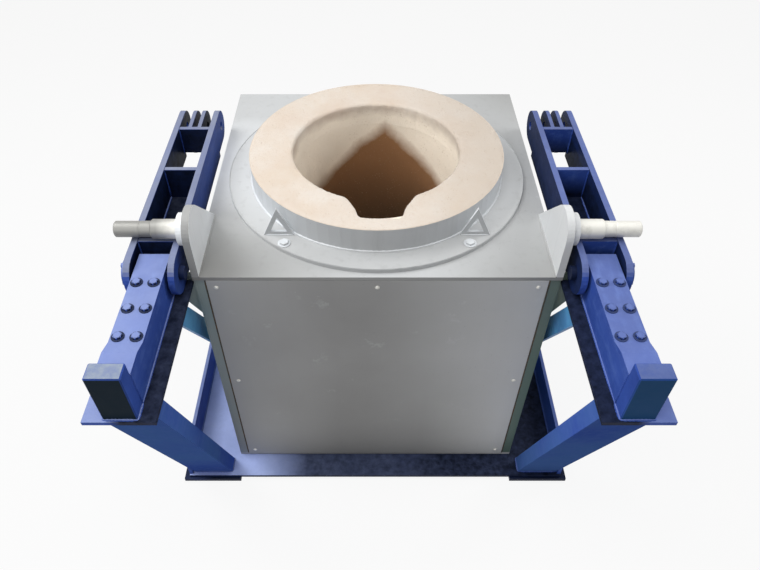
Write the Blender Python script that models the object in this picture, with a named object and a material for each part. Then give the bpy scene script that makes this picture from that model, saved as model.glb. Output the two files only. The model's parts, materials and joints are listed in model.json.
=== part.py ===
"""Tilting induction melting furnace: a steel box holding a lined crucible and its coil, carried
on two arms that turn about pins at the front of a welded stand.

Metres, +Z up. X runs across the furnace, -Y is the pouring side. The origin is on the floor,
in the middle of the stand. The furnace is at rest, upright on its base plates.
"""

import math

import bmesh
import bpy
from mathutils import Matrix, Vector

# Clearances
GAP = 0.0003
RUNNING_CLEARANCE = 0.0006
OVERRUN = 0.010
WELD_SINK = 0.001

# Furnace box
BOX_WIDTH = 1.040
BOX_DEPTH = 1.000
BOX_HEIGHT = 0.971
PLATE_THICKNESS = 0.012
SHEET_THICKNESS = 0.004
SHEET_SETBACK = 0.002
FRAME_THICKNESS = 0.008
FRAME_LEG = 0.074
FRAME_RAIL_HEIGHT = 0.062
PANEL_HALF_WIDTH = 0.484
PANEL_REVEAL = 0.0015
SCREW_DIAMETER = 0.013
SCREW_HEAD_HEIGHT = 0.004
SCREW_EDGE_DISTANCE = 0.026
SCREW_TOP_DROP = 0.028

# Crucible ring on the box
FLANGE_EDGE_ROOM = 0.017
FLANGE_MARGIN = 0.075
COLLAR_WALL = 0.0115
COLLAR_HEIGHT = 0.081
REFRACTORY_WALL = 0.1282
REFRACTORY_BEVEL = 0.006
NOTCH_BORE_HALF_WIDTH = 0.118
NOTCH_MIDDLE_HALF_WIDTH = 0.064
NOTCH_FRONT_HALF_WIDTH = 0.034
NOTCH_FRONT_WALL = 0.046
NOTCH_SHOULDER = 0.036
NOTCH_DEPTH = 0.068
FLANGE_BOLT_INSET = 0.023
FLANGE_BOLT_ANGLE = math.radians(53.8)
FLANGE_BOLT_WIDTH = 0.024
FLANGE_BOLT_HEIGHT = 0.008
LUG_PLACE_SHARE = 0.600
LUG_WIDTH = 0.090
LUG_HEIGHT = 0.098
LUG_THICKNESS = 0.008
LUG_BAR = 0.013

# Crucible, coil and what holds them inside the box
LINING_WALL = 0.032
LINING_DEPTH = 0.660
LINING_FLOOR = 0.080
LINING_FLOOR_FILLET = 0.060
SLAB_MARGIN = 0.020
COIL_TURNS = 10
COIL_PITCH = 0.054
COIL_TUBE = 0.030
COIL_GAP = 0.018
COIL_TOP_DROP = 0.110
COIL_TERMINAL_REACH = 0.040
CAGE_POST_WIDTH = 0.036
CAGE_POST_DEPTH = 0.026
CAGE_POSTS = 6
CAGE_RING_HEIGHT = 0.020
TERMINAL_BOARD_WIDTH = 0.200
TERMINAL_BOARD_HEIGHT = 0.640
TERMINAL_BOARD_THICKNESS = 0.012
TERMINAL_HOLE_CLEARANCE = 0.003

# Ears and trunnion shafts
EAR_THICKNESS = 0.020
EAR_RADIUS = 0.066
EAR_FOOT_DEPTH = 0.275
SHAFT_SETBACK = 0.066
SHAFT_DIAMETER = 0.055
SHAFT_END_DIAMETER = 0.045
SHAFT_THICK_LENGTH = 0.096
SHAFT_END_LENGTH = 0.101
SHAFT_CHAMFER = 0.003
KEEPER_RADIUS = 0.0455

# Tilting arms
ARM_CLEARANCE = 0.022
ARM_WIDTH = 0.136
ARM_PLATE = 0.018
ARM_HEIGHT = 0.120
ARM_REAR_RADIUS = 0.052
ARM_REAR_PIN_SETBACK = 0.709
ARM_STEP_SETBACK = 0.625
ARM_TIE_BOTTOM_RISE = 0.026
ARM_TIE_TOP_DROP = 0.002
TIE_THICKNESS = 0.015
FRONT_TIE_SETBACK = 0.048
MIDDLE_TIE_SETBACK = 0.379
REAR_TIE_SETBACK = 0.608
ARM_FLOOR_THICKNESS = 0.012
BRACKET_SETBACK = 0.024
BRACKET_THICKNESS = 0.012
BRACKET_LIP = 0.095
BRACKET_DROP = 0.160
CLEVIS_PLATE = 0.012
CLEVIS_SPACING = 0.031
CLEVIS_BORE = 0.030
CLEVIS_SINK = 0.002

# Pivot
PIN_FORWARD = 0.015
PIN_RISE = 0.034
PIN_DIAMETER = 0.040
PIN_CLEARANCE = 0.007
PIN_END_RECESS = 0.001
COVER_DIAMETER = 0.080
COVER_THICKNESS = 0.012
COVER_BOLTS = 3
COVER_BOLT_CIRCLE = 0.054
COVER_BOLT_WIDTH = 0.014
COVER_BOLT_HEIGHT = 0.006

# Stand
BEAM_SIDE_CLEARANCE = 0.008
BEAM_REAR_SETBACK = 0.018
BEAM_CAP_RISE = 0.073
BEAM_CAP_THICKNESS = 0.012
BEAM_CAP_STEP = 0.014
BEAM_STEP_START = 0.292
BEAM_STEP_END = 0.335
CAP_BOLT_FORWARD = 0.092
CAP_BOLT_PITCH = 0.092
CAP_BOLT_ROWS = 3
CAP_BOLT_SPACING = 0.045
CAP_BOLT_WIDTH = 0.020
CAP_BOLT_HEIGHT = 0.008
BLOCK_BACK = 0.397
BLOCK_LENGTH = 0.047
BLOCK_HEIGHT = 0.159
BLOCK_BEVEL = 0.003
SHELF_CLEARANCE = 0.005
SHELF_WIDTH = 0.177
SHELF_FRONT = 0.451
SHELF_REAR_SETBACK = 0.020
SHELF_THICKNESS = 0.012
SHELF_TOP_DROP = 0.030
STRUT_CLEARANCE = 0.020
STRUT_WIDTH = 0.147
FRONT_STRUT_ANGLE = math.radians(69.2)
FRONT_STRUT_TOP = 0.422
FRONT_STRUT_DEPTH = 0.055
REAR_STRUT_ANGLE = math.radians(58.0)
REAR_STRUT_TOP = 0.131
REAR_STRUT_DEPTH = 0.071
REAR_STRUT_THICKNESS = 0.012
RAIL_CLEARANCE = 0.001
RAIL_THICKNESS = 0.012
RAIL_HEIGHT = 0.106
RAIL_FRONT = 0.080
BASE_PLATE_THICKNESS = 0.012
BASE_FRONT = 0.086
BASE_FRONT_PLATE_DEPTH = 0.625
BASE_CUTOUT_DEPTH = 0.150
BASE_TONGUE_CLEARANCE = 0.010
BASE_REAR_PLATE_DEPTH = 0.320
BASE_REAR_OVERHANG = 0.060
FOOT_THICKNESS = 0.016
FOOT_INSET = 0.012
FOOT_OUTREACH = 0.020
FOOT_FRONT = 0.094
FOOT_DEPTH = 0.160
ANCHOR_HOLE = 0.022
ANCHOR_SIDE_DISTANCE = 0.040
ANCHOR_EDGE_DISTANCE = 0.025

# Facets around a full circle
RING_FACETS = 72
ROD_FACETS = 32
BOLT_FACETS = 6
SCREW_FACETS = 12
COIL_FACETS = 24

# Finishes: base colour, roughness, metallic
BLUE_PAINT = ("blue_paint", (0.055, 0.085, 0.300), 0.45, 0.1)
GREY_PAINT = ("grey_paint", (0.420, 0.430, 0.440), 0.50, 0.2)
BRIGHT_STEEL = ("bright_steel", (0.640, 0.620, 0.580), 0.35, 0.9)
REFRACTORY = ("refractory", (0.780, 0.660, 0.560), 0.95, 0.0)
CASTABLE = ("castable", (0.520, 0.480, 0.420), 0.95, 0.0)
COPPER = ("copper", (0.720, 0.350, 0.200), 0.35, 1.0)
BOARD = ("insulating_board", (0.350, 0.180, 0.110), 0.60, 0.0)

# Places that follow from the sizes above
BOX_HALF = BOX_WIDTH / 2
BASE_TOP = FOOT_THICKNESS + GAP + BASE_PLATE_THICKNESS
BOX_BOTTOM = BASE_TOP + GAP
BOX_TOP = BOX_BOTTOM + BOX_HEIGHT
OVERALL_DEPTH = SHELF_FRONT + BOX_DEPTH + BASE_REAR_OVERHANG
BOX_FRONT = SHELF_FRONT - OVERALL_DEPTH / 2
BOX_BACK = BOX_FRONT + BOX_DEPTH
RING_Y = BOX_FRONT + BOX_DEPTH / 2
FLANGE_RADIUS = min(BOX_WIDTH, BOX_DEPTH) / 2 - FLANGE_EDGE_ROOM
COLLAR_RADIUS = FLANGE_RADIUS - FLANGE_MARGIN
REFRACTORY_RADIUS = COLLAR_RADIUS - COLLAR_WALL - GAP
BORE_RADIUS = REFRACTORY_RADIUS - REFRACTORY_WALL
FLANGE_BOLT_RADIUS = FLANGE_RADIUS - FLANGE_BOLT_INSET
LUG_INNER_X = COLLAR_RADIUS * LUG_PLACE_SHARE
FLANGE_TOP = BOX_TOP + GAP + PLATE_THICKNESS
RING_TOP = FLANGE_TOP + COLLAR_HEIGHT
PIN_Y = BOX_FRONT - PIN_FORWARD
PIN_Z = BOX_TOP + PIN_RISE
SHAFT_Y = BOX_FRONT + SHAFT_SETBACK
SHELF_TOP = BOX_TOP - SHELF_TOP_DROP
SHELF_BOTTOM = SHELF_TOP - SHELF_THICKNESS
ARM_INNER_X = BOX_HALF + ARM_CLEARANCE
ARM_TOP = PIN_Z + ARM_HEIGHT / 2
ARM_BOTTOM = PIN_Z - ARM_HEIGHT / 2
SHAFT_Z = ARM_TOP + GAP + SHAFT_DIAMETER / 2
ARM_OUTER_X = ARM_INNER_X + ARM_WIDTH
ARM_CENTRE_X = ARM_INNER_X + ARM_WIDTH / 2
ARM_CELL_INNER_X = ARM_INNER_X + ARM_PLATE + GAP
ARM_CELL_OUTER_X = ARM_OUTER_X - ARM_PLATE - GAP
ARM_REAR_Y = BOX_FRONT + ARM_REAR_PIN_SETBACK
ARM_REAR_Z = ARM_TOP - ARM_REAR_RADIUS
SHAFT_STEP_X = BOX_HALF + SHAFT_THICK_LENGTH
SHAFT_END_X = SHAFT_STEP_X + SHAFT_END_LENGTH
PIN_INNER_X = BOX_HALF + PIN_CLEARANCE
BEAM_INNER_X = ARM_INNER_X + ARM_PLATE + BEAM_SIDE_CLEARANCE
BEAM_WIDTH = ARM_WIDTH - 2 * (ARM_PLATE + BEAM_SIDE_CLEARANCE)
SHELF_INNER_X = BOX_HALF + SHELF_CLEARANCE
STRUT_INNER_X = BOX_HALF + STRUT_CLEARANCE
RAIL_OUTER_X = STRUT_INNER_X + STRUT_WIDTH + RAIL_CLEARANCE + RAIL_THICKNESS
BASE_TONGUE_INNER_X = BOX_HALF + BASE_TONGUE_CLEARANCE
FOOT_INNER_X = BOX_HALF - FOOT_INSET
FOOT_OUTER_X = RAIL_OUTER_X + FOOT_OUTREACH
ANCHOR_X = FOOT_OUTER_X - ANCHOR_SIDE_DISTANCE
LINING_RADIUS = BORE_RADIUS + LINING_WALL
LINING_BOTTOM = FLANGE_TOP - LINING_DEPTH - LINING_FLOOR
COIL_RADIUS = LINING_RADIUS + COIL_GAP + COIL_TUBE / 2
COIL_TOP = BOX_TOP - COIL_TOP_DROP
COIL_BOTTOM = COIL_TOP - COIL_TURNS * COIL_PITCH
FRAME_HALF = BOX_HALF - SHEET_SETBACK - SHEET_THICKNESS - GAP
FRAME_FRONT = BOX_FRONT + SHEET_THICKNESS + GAP
FRAME_BACK = BOX_BACK - SHEET_THICKNESS - GAP
FRAME_BOTTOM = BOX_BOTTOM + PLATE_THICKNESS + GAP
FRAME_TOP = BOX_TOP - PLATE_THICKNESS - GAP
BOARD_BACK = BOX_BACK + GAP + TERMINAL_BOARD_THICKNESS

SIDES = (("left", -1), ("right", 1))


def finish_material(finish):
    """The material of a finish, made once and then shared."""
    name, colour, roughness, metallic = finish
    material = bpy.data.materials.get(name)
    if material is None:
        material = bpy.data.materials.new(name)
        material.use_nodes = True
        shader = material.node_tree.nodes["Principled BSDF"]
        shader.inputs["Base Color"].default_value = (*colour, 1.0)
        shader.inputs["Roughness"].default_value = roughness
        shader.inputs["Metallic"].default_value = metallic
        material.diffuse_color = (*colour, 1.0)
    return material


def place(name, mesh_data, finish, parent=None, origin=(0, 0, 0), smooth=False):
    """An object of the bmesh, which is in world places, with its origin at the given point."""
    mesh_data.normal_update()
    bmesh.ops.recalc_face_normals(mesh_data, faces=mesh_data.faces)
    bmesh.ops.translate(mesh_data, verts=mesh_data.verts, vec=-Vector(origin))
    mesh = bpy.data.meshes.new(name)
    mesh_data.to_mesh(mesh)
    mesh_data.free()
    if smooth:
        mesh.shade_smooth()
        mesh.set_sharp_from_angle(angle=math.radians(35))
    piece = bpy.data.objects.new(name, mesh)
    bpy.context.scene.collection.objects.link(piece)
    piece.location = origin
    if finish is not None:
        mesh.materials.append(finish_material(finish))
    if parent is not None:
        piece.parent = parent
        piece.location = Vector(origin) - parent.location
    return piece


def cutter(name, mesh_data, parent=None):
    """A helper that is never part of the furnace, only cut from or joined to its pieces."""
    helper = place(name, mesh_data, None, parent)
    helper.hide_render = True
    helper.display_type = "WIRE"
    return helper


def combine(piece, helper, operation="DIFFERENCE"):
    """Cut the helper from the piece, or weld it on with UNION."""
    step = piece.modifiers.new(helper.name, "BOOLEAN")
    step.operation = operation
    step.solver = "EXACT"
    step.object = helper
    return piece


def block(x_range, y_range, z_range):
    """A box between two limits on each axis, in either order."""
    mesh_data = bmesh.new()
    bmesh.ops.create_cube(mesh_data, size=1)
    centre = [(limits[0] + limits[1]) / 2 for limits in (x_range, y_range, z_range)]
    sides = [abs(limits[1] - limits[0]) for limits in (x_range, y_range, z_range)]
    bmesh.ops.scale(mesh_data, vec=sides, verts=mesh_data.verts)
    bmesh.ops.translate(mesh_data, vec=centre, verts=mesh_data.verts)
    return mesh_data


def side_prism(outline, x_start, x_end):
    """A plate whose (y, z) outline runs from one x to the other."""
    mesh_data = bmesh.new()
    corners = [mesh_data.verts.new((x_start, y, z)) for y, z in outline]
    face = mesh_data.faces.new(corners)
    grown = bmesh.ops.extrude_face_region(mesh_data, geom=[face])
    moved = [item for item in grown["geom"] if isinstance(item, bmesh.types.BMVert)]
    bmesh.ops.translate(mesh_data, vec=(x_end - x_start, 0, 0), verts=moved)
    return mesh_data


def flat_prism(outline, z_start, z_end):
    """A plate whose (x, y) outline runs from one z to the other."""
    mesh_data = side_prism([(x, y) for x, y in outline], z_start, z_end)
    for corner in mesh_data.verts:
        corner.co = Vector((corner.co.y, corner.co.z, corner.co.x))
    return mesh_data


def arc(centre, radius, start, end, steps):
    """Points on an arc from one angle to another, both ends included."""
    turns = [start + (end - start) * step / steps for step in range(steps + 1)]
    return [(centre[0] + radius * math.cos(t), centre[1] + radius * math.sin(t)) for t in turns]


def turned(profile, centre, facets):
    """A solid turned about a vertical axis from a closed (radius, z) profile."""
    mesh_data = bmesh.new()
    rings = []
    for step in range(facets):
        angle = math.tau * step / facets
        ring = [
            mesh_data.verts.new(
                (centre[0] + r * math.cos(angle), centre[1] + r * math.sin(angle), z)
            )
            for r, z in profile
        ]
        rings.append(ring)
    for step, ring in enumerate(rings):
        after = rings[(step + 1) % facets]
        for index in range(len(profile)):
            following = (index + 1) % len(profile)
            mesh_data.faces.new(
                (ring[index], ring[following], after[following], after[index])
            )
    bmesh.ops.remove_doubles(mesh_data, verts=mesh_data.verts, dist=GAP / 10)
    return mesh_data


def rod(start, end, radius, facets, end_radius=None):
    """A straight bar between two points, tapered where an end radius is given."""
    mesh_data = bmesh.new()
    along = Vector(end) - Vector(start)
    turn = along.to_track_quat("Z", "Y").to_matrix().to_4x4()
    middle = Matrix.Translation((Vector(start) + Vector(end)) / 2)
    bmesh.ops.create_cone(
        mesh_data,
        cap_ends=True,
        segments=facets,
        radius1=radius,
        radius2=radius if end_radius is None else end_radius,
        depth=along.length,
        matrix=middle @ turn,
    )
    return mesh_data


def hexagon_radius(width):
    """The corner radius of a hexagon head from its width across flats."""
    return width / math.sqrt(3)


def build_feet(parent):
    """Four foot plates with an anchor hole at each outer end."""
    front = BOX_FRONT - FOOT_FRONT
    back = BOX_BACK + BASE_REAR_OVERHANG
    ends = (("front", front, front + FOOT_DEPTH), ("rear", back, back - FOOT_DEPTH))
    for side, sign in SIDES:
        for end, edge, inner in ends:
            inwards = math.copysign(1, inner - edge)
            name = f"foot_plate_{end}_{side}"
            foot = place(
                name,
                block(
                    (sign * FOOT_INNER_X, sign * FOOT_OUTER_X), (edge, inner), (0, FOOT_THICKNESS)
                ),
                BLUE_PAINT,
                parent,
            )
            hole_y = edge + inwards * ANCHOR_EDGE_DISTANCE
            low = (sign * ANCHOR_X, hole_y, -OVERRUN)
            high = (sign * ANCHOR_X, hole_y, FOOT_THICKNESS + OVERRUN)
            hole = rod(low, high, ANCHOR_HOLE / 2, SCREW_FACETS)
            combine(foot, cutter(f"{name}_hole", hole, parent))


def base_notch(plate, name, sign, y_range, parent):
    """The corner left off a base plate round a foot's anchor hole."""
    x_range = (sign * (ANCHOR_X - ANCHOR_HOLE), sign * (RAIL_OUTER_X + OVERRUN))
    z_range = (FOOT_THICKNESS - OVERRUN, BASE_TOP + OVERRUN)
    combine(plate, cutter(name, block(x_range, y_range, z_range), parent))


def build_base(parent):
    """Two base plates on the feet, with an open bay between them, and the rails on both edges."""
    low = FOOT_THICKNESS + GAP
    front = BOX_FRONT - BASE_FRONT
    tongue_end = front + BASE_FRONT_PLATE_DEPTH
    cutout_start = tongue_end - BASE_CUTOUT_DEPTH
    outline = [
        (-RAIL_OUTER_X, front),
        (RAIL_OUTER_X, front),
        (RAIL_OUTER_X, tongue_end),
        (BASE_TONGUE_INNER_X, tongue_end),
        (BASE_TONGUE_INNER_X, cutout_start),
        (-BASE_TONGUE_INNER_X, cutout_start),
        (-BASE_TONGUE_INNER_X, tongue_end),
        (-RAIL_OUTER_X, tongue_end),
    ]
    place("base_front_plate", flat_prism(outline, low, BASE_TOP), BLUE_PAINT, parent)
    back = BOX_BACK + BASE_REAR_OVERHANG
    rear_plate = place(
        "base_rear_plate",
        block(
            (-RAIL_OUTER_X, RAIL_OUTER_X), (back - BASE_REAR_PLATE_DEPTH, back), (low, BASE_TOP)
        ),
        BLUE_PAINT,
        parent,
    )
    for side, sign in SIDES:
        inset = ANCHOR_EDGE_DISTANCE + ANCHOR_HOLE
        base_notch(rear_plate, f"rear_notch_{side}", sign, (back - inset, back + OVERRUN), parent)
        rail_x = (sign * (RAIL_OUTER_X - RAIL_THICKNESS), sign * RAIL_OUTER_X)
        rail_y = (BOX_FRONT - RAIL_FRONT, back - inset - GAP)
        rail_z = (BASE_TOP + GAP, BASE_TOP + GAP + RAIL_HEIGHT)
        place(f"side_rail_{side}", block(rail_x, rail_y, rail_z), BLUE_PAINT, parent)


def strut(name, sign, top_front, depth, width, lean, parent):
    """A leg from the shelf down to the base plate, leaning backwards as it goes down."""
    high = SHELF_BOTTOM - GAP
    low = BASE_TOP + GAP
    run = (high - low) / math.tan(lean)
    outline = [
        (top_front, high),
        (top_front + depth, high),
        (top_front + depth + run, low),
        (top_front + run, low),
    ]
    outer = sign * (STRUT_INNER_X + width)
    place(name, side_prism(outline, sign * STRUT_INNER_X, outer), BLUE_PAINT, parent)


def build_legs(parent):
    """The shelf plate that carries each pivot beam, its wide front leg and its flat rear brace."""
    for side, sign in SIDES:
        place(
            f"shelf_plate_{side}",
            block(
                (sign * SHELF_INNER_X, sign * (SHELF_INNER_X + SHELF_WIDTH)),
                (BOX_FRONT - SHELF_FRONT, BOX_FRONT + SHELF_REAR_SETBACK),
                (SHELF_BOTTOM, SHELF_TOP),
            ),
            BLUE_PAINT,
            parent,
        )
        legs = (
            ("front", FRONT_STRUT_TOP, FRONT_STRUT_DEPTH, STRUT_WIDTH, FRONT_STRUT_ANGLE),
            ("rear", REAR_STRUT_TOP, REAR_STRUT_DEPTH, REAR_STRUT_THICKNESS, REAR_STRUT_ANGLE),
        )
        for end, reach, depth, width, lean in legs:
            strut(f"{end}_strut_{side}", sign, BOX_FRONT - reach, depth, width, lean, parent)


def beam_top_line(rise):
    """The beam's upper edge from its rear end to the block, at the given height over the box."""
    z = BOX_TOP + rise
    return [
        (BOX_FRONT + BEAM_REAR_SETBACK, z),
        (BOX_FRONT - BEAM_STEP_START, z),
        (BOX_FRONT - BEAM_STEP_END, z + BEAM_CAP_STEP),
        (BOX_FRONT - BLOCK_BACK + GAP, z + BEAM_CAP_STEP),
    ]


def bolt_head(name, base, direction, width, height, facets, parent):
    """A bolt head that stands on a surface and is sunk a little into it, to be welded on."""
    outward = Vector(direction)
    start = Vector(base) - outward * WELD_SINK
    end = Vector(base) + outward * height
    radius = hexagon_radius(width) if facets == BOLT_FACETS else width / 2
    return cutter(name, rod(start, end, radius, facets), parent)


def build_pivot_beams(parent):
    """The beam on each shelf that holds the pivot pin, its cap plate and the block in front."""
    for side, sign in SIDES:
        inner = sign * BEAM_INNER_X
        outer = sign * (BEAM_INNER_X + BEAM_WIDTH)
        under_cap = BEAM_CAP_RISE - BEAM_CAP_THICKNESS - GAP
        foot = SHELF_TOP + GAP
        web = beam_top_line(under_cap)
        web += [(web[-1][0], foot), (web[0][0], foot)]
        beam = place(f"pivot_beam_{side}", side_prism(web, inner, outer), BLUE_PAINT, parent)
        bore = rod(
            (inner - sign * OVERRUN, PIN_Y, PIN_Z),
            (outer + sign * OVERRUN, PIN_Y, PIN_Z),
            PIN_DIAMETER / 2 + GAP,
            ROD_FACETS,
        )
        combine(beam, cutter(f"beam_bore_{side}", bore, parent))
        cap_outline = beam_top_line(BEAM_CAP_RISE)
        cap_outline += reversed(beam_top_line(BEAM_CAP_RISE - BEAM_CAP_THICKNESS))
        cap = place(
            f"beam_cap_{side}", side_prism(cap_outline, inner, outer), BLUE_PAINT, parent
        )
        for row in range(CAP_BOLT_ROWS):
            for column in (-1, 1):
                x = (inner + outer) / 2 + column * CAP_BOLT_SPACING / 2
                y = BOX_FRONT - CAP_BOLT_FORWARD - row * CAP_BOLT_PITCH
                head = bolt_head(
                    f"cap_bolt_{side}_{row}_{column}",
                    (x, y, BOX_TOP + BEAM_CAP_RISE),
                    (0, 0, 1),
                    CAP_BOLT_WIDTH,
                    CAP_BOLT_HEIGHT,
                    BOLT_FACETS,
                    parent,
                )
                combine(cap, head, "UNION")
        block_back = BOX_FRONT - BLOCK_BACK
        stop = block(
            (inner, outer), (block_back - BLOCK_LENGTH, block_back), (foot, foot + BLOCK_HEIGHT)
        )
        bmesh.ops.bevel(
            stop, geom=stop.edges[:], offset=BLOCK_BEVEL, segments=1, affect="EDGES"
        )
        place(f"stop_block_{side}", stop, BLUE_PAINT, parent)
        pin = rod(
            (sign * PIN_INNER_X, PIN_Y, PIN_Z),
            (sign * (ARM_OUTER_X - PIN_END_RECESS), PIN_Y, PIN_Z),
            PIN_DIAMETER / 2,
            ROD_FACETS,
        )
        place(f"pivot_pin_{side}", pin, BRIGHT_STEEL, parent, smooth=True)


def arm_outline():
    """An arm plate seen from the side: round ends on the pivot and on the rear pin."""
    front = arc((PIN_Y, PIN_Z), ARM_HEIGHT / 2, math.pi / 2, math.pi * 3 / 2, 16)
    rear = arc((ARM_REAR_Y, ARM_REAR_Z), ARM_REAR_RADIUS, -math.pi / 2, math.pi / 2, 14)
    step_y = BOX_FRONT + ARM_STEP_SETBACK
    step = [(step_y, ARM_BOTTOM), (step_y, ARM_REAR_Z - ARM_REAR_RADIUS)]
    return front + step + rear


def side_hole(piece, name, y, z, radius, x_start, x_end, parent):
    """A round hole along X, through something that lies between two X places."""
    over = math.copysign(OVERRUN, x_end - x_start)
    hole = rod((x_start - over, y, z), (x_end + over, y, z), radius, ROD_FACETS)
    combine(piece, cutter(name, hole, parent))


def build_arm_plates(parent):
    """The two long plates of each arm, bored for the pivot pin and for the rear pin."""
    outline = arm_outline()
    faces = (
        ("inner", ARM_INNER_X, ARM_INNER_X + ARM_PLATE),
        ("outer", ARM_OUTER_X - ARM_PLATE, ARM_OUTER_X),
    )
    for side, sign in SIDES:
        for place_name, start, end in faces:
            name = f"arm_{place_name}_plate_{side}"
            x_start, x_end = sign * start, sign * end
            plate = place(name, side_prism(outline, x_start, x_end), BLUE_PAINT, parent)
            pivot_radius = PIN_DIAMETER / 2 + RUNNING_CLEARANCE
            side_hole(plate, f"{name}_pivot", PIN_Y, PIN_Z, pivot_radius, x_start, x_end, parent)
            side_hole(
                plate,
                f"{name}_rear",
                ARM_REAR_Y,
                ARM_REAR_Z,
                CLEVIS_BORE / 2,
                x_start,
                x_end,
                parent,
            )


def build_arm_cross_plates(parent):
    """What joins the two long plates of an arm: two ties on a floor plate, and the clevis."""
    floor_top = ARM_BOTTOM + ARM_FLOOR_THICKNESS
    tie_top = ARM_TOP - ARM_TIE_TOP_DROP
    for side, sign in SIDES:
        cell = (sign * ARM_CELL_INNER_X, sign * ARM_CELL_OUTER_X)
        for where, setback in (("front", FRONT_TIE_SETBACK), ("middle", MIDDLE_TIE_SETBACK)):
            y = BOX_FRONT + setback
            tie = block(cell, (y, y + TIE_THICKNESS), (floor_top + GAP, tie_top))
            place(f"arm_{where}_tie_{side}", tie, BLUE_PAINT, parent)
        floor_y = (
            BOX_FRONT + FRONT_TIE_SETBACK,
            BOX_FRONT + MIDDLE_TIE_SETBACK + TIE_THICKNESS,
        )
        floor = block(cell, floor_y, (ARM_BOTTOM, floor_top))
        place(f"arm_floor_plate_{side}", floor, BLUE_PAINT, parent)
        build_clevis(side, sign, cell, (ARM_BOTTOM + ARM_TIE_BOTTOM_RISE, tie_top), parent)


def build_clevis(side, sign, cell, tie_z, parent):
    """The rear tie of an arm with two bored plates welded on its back."""
    tie_y = BOX_FRONT + REAR_TIE_SETBACK
    tie_back = tie_y + TIE_THICKNESS
    clevis = place(
        f"rear_clevis_{side}", block(cell, (tie_y, tie_back), tie_z), BLUE_PAINT, parent
    )
    root = tie_back - CLEVIS_SINK
    ear = arc((ARM_REAR_Y, ARM_REAR_Z), ARM_REAR_RADIUS, -math.pi / 2, math.pi / 2, 14)
    bottom = ARM_REAR_Z - ARM_REAR_RADIUS
    outline = [(root, ARM_TOP - ARM_TIE_TOP_DROP), (root, bottom)] + ear
    for index, offset in enumerate((-CLEVIS_SPACING / 2, CLEVIS_SPACING / 2)):
        centre = sign * ARM_CENTRE_X + offset
        x_start, x_end = centre - CLEVIS_PLATE / 2, centre + CLEVIS_PLATE / 2
        plate = cutter(f"clevis_plate_{side}_{index}", side_prism(outline, x_start, x_end), parent)
        combine(clevis, plate, "UNION")
    side_hole(
        clevis,
        f"clevis_bore_{side}",
        ARM_REAR_Y,
        ARM_REAR_Z,
        CLEVIS_BORE / 2,
        sign * ARM_CELL_INNER_X,
        sign * ARM_CELL_OUTER_X,
        parent,
    )


def build_pin_covers(parent):
    """The round cover on the outer face of each arm, with its bolt heads."""
    for side, sign in SIDES:
        face = sign * (ARM_OUTER_X + GAP)
        outside = face + sign * COVER_THICKNESS
        disc = rod((face, PIN_Y, PIN_Z), (outside, PIN_Y, PIN_Z), COVER_DIAMETER / 2, ROD_FACETS)
        cover = place(f"pin_cover_{side}", disc, BRIGHT_STEEL, parent)
        for index in range(COVER_BOLTS):
            angle = math.pi / 2 + math.tau * index / COVER_BOLTS
            y = PIN_Y + COVER_BOLT_CIRCLE / 2 * math.cos(angle)
            z = PIN_Z + COVER_BOLT_CIRCLE / 2 * math.sin(angle)
            head = bolt_head(
                f"cover_bolt_{side}_{index}",
                (outside, y, z),
                (sign, 0, 0),
                COVER_BOLT_WIDTH,
                COVER_BOLT_HEIGHT,
                BOLT_FACETS,
                parent,
            )
            combine(cover, head, "UNION")


def ear_outline():
    """Upright front edge, round top about the shaft, straight slope down to the rear foot."""
    foot_z = BOX_TOP + GAP
    away = Vector((BOX_FRONT + EAR_FOOT_DEPTH - SHAFT_Y, foot_z - SHAFT_Z))
    tangent = math.atan2(away.y, away.x) + math.acos(EAR_RADIUS / away.length)
    top = arc((SHAFT_Y, SHAFT_Z), EAR_RADIUS, math.pi, tangent, 14)
    return top + [(BOX_FRONT + EAR_FOOT_DEPTH, foot_z), (SHAFT_Y - EAR_RADIUS, foot_z)]


def build_trunnions(parent):
    """Ear plates on the top plate, the stub shaft on each, and the collar round its root."""
    for side, sign in SIDES:
        inner = sign * (BOX_HALF - EAR_THICKNESS)
        ear = side_prism(ear_outline(), inner, sign * BOX_HALF)
        place(f"ear_plate_{side}", ear, GREY_PAINT, parent)
        root = sign * (BOX_HALF + GAP)
        step = sign * SHAFT_STEP_X
        tip = sign * SHAFT_END_X
        shaft = place(
            f"trunnion_shaft_{side}",
            rod((root, SHAFT_Y, SHAFT_Z), (step, SHAFT_Y, SHAFT_Z), SHAFT_DIAMETER / 2, ROD_FACETS),
            BRIGHT_STEEL,
            parent,
            smooth=True,
        )
        end_start = (step - sign * OVERRUN, SHAFT_Y, SHAFT_Z)
        chamfer_start = (tip - sign * SHAFT_CHAMFER, SHAFT_Y, SHAFT_Z)
        end = rod(end_start, chamfer_start, SHAFT_END_DIAMETER / 2, ROD_FACETS)
        combine(shaft, cutter(f"shaft_end_{side}", end, parent), "UNION")
        chamfer_root = (tip - sign * (SHAFT_CHAMFER + WELD_SINK), SHAFT_Y, SHAFT_Z)
        tip_radius = SHAFT_END_DIAMETER / 2 - SHAFT_CHAMFER
        chamfer = rod(
            chamfer_root, (tip, SHAFT_Y, SHAFT_Z), SHAFT_END_DIAMETER / 2, ROD_FACETS, tip_radius
        )
        combine(shaft, cutter(f"shaft_tip_{side}", chamfer, parent), "UNION")
        face = sign * (ARM_INNER_X - GAP)
        collar = rod((root, SHAFT_Y, SHAFT_Z), (face, SHAFT_Y, SHAFT_Z), KEEPER_RADIUS, ROD_FACETS)
        keeper = place(f"shaft_keeper_{side}", collar, BRIGHT_STEEL, parent, smooth=True)
        bore_radius = SHAFT_DIAMETER / 2 + GAP
        side_hole(keeper, f"keeper_bore_{side}", SHAFT_Y, SHAFT_Z, bore_radius, root, face, parent)


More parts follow.
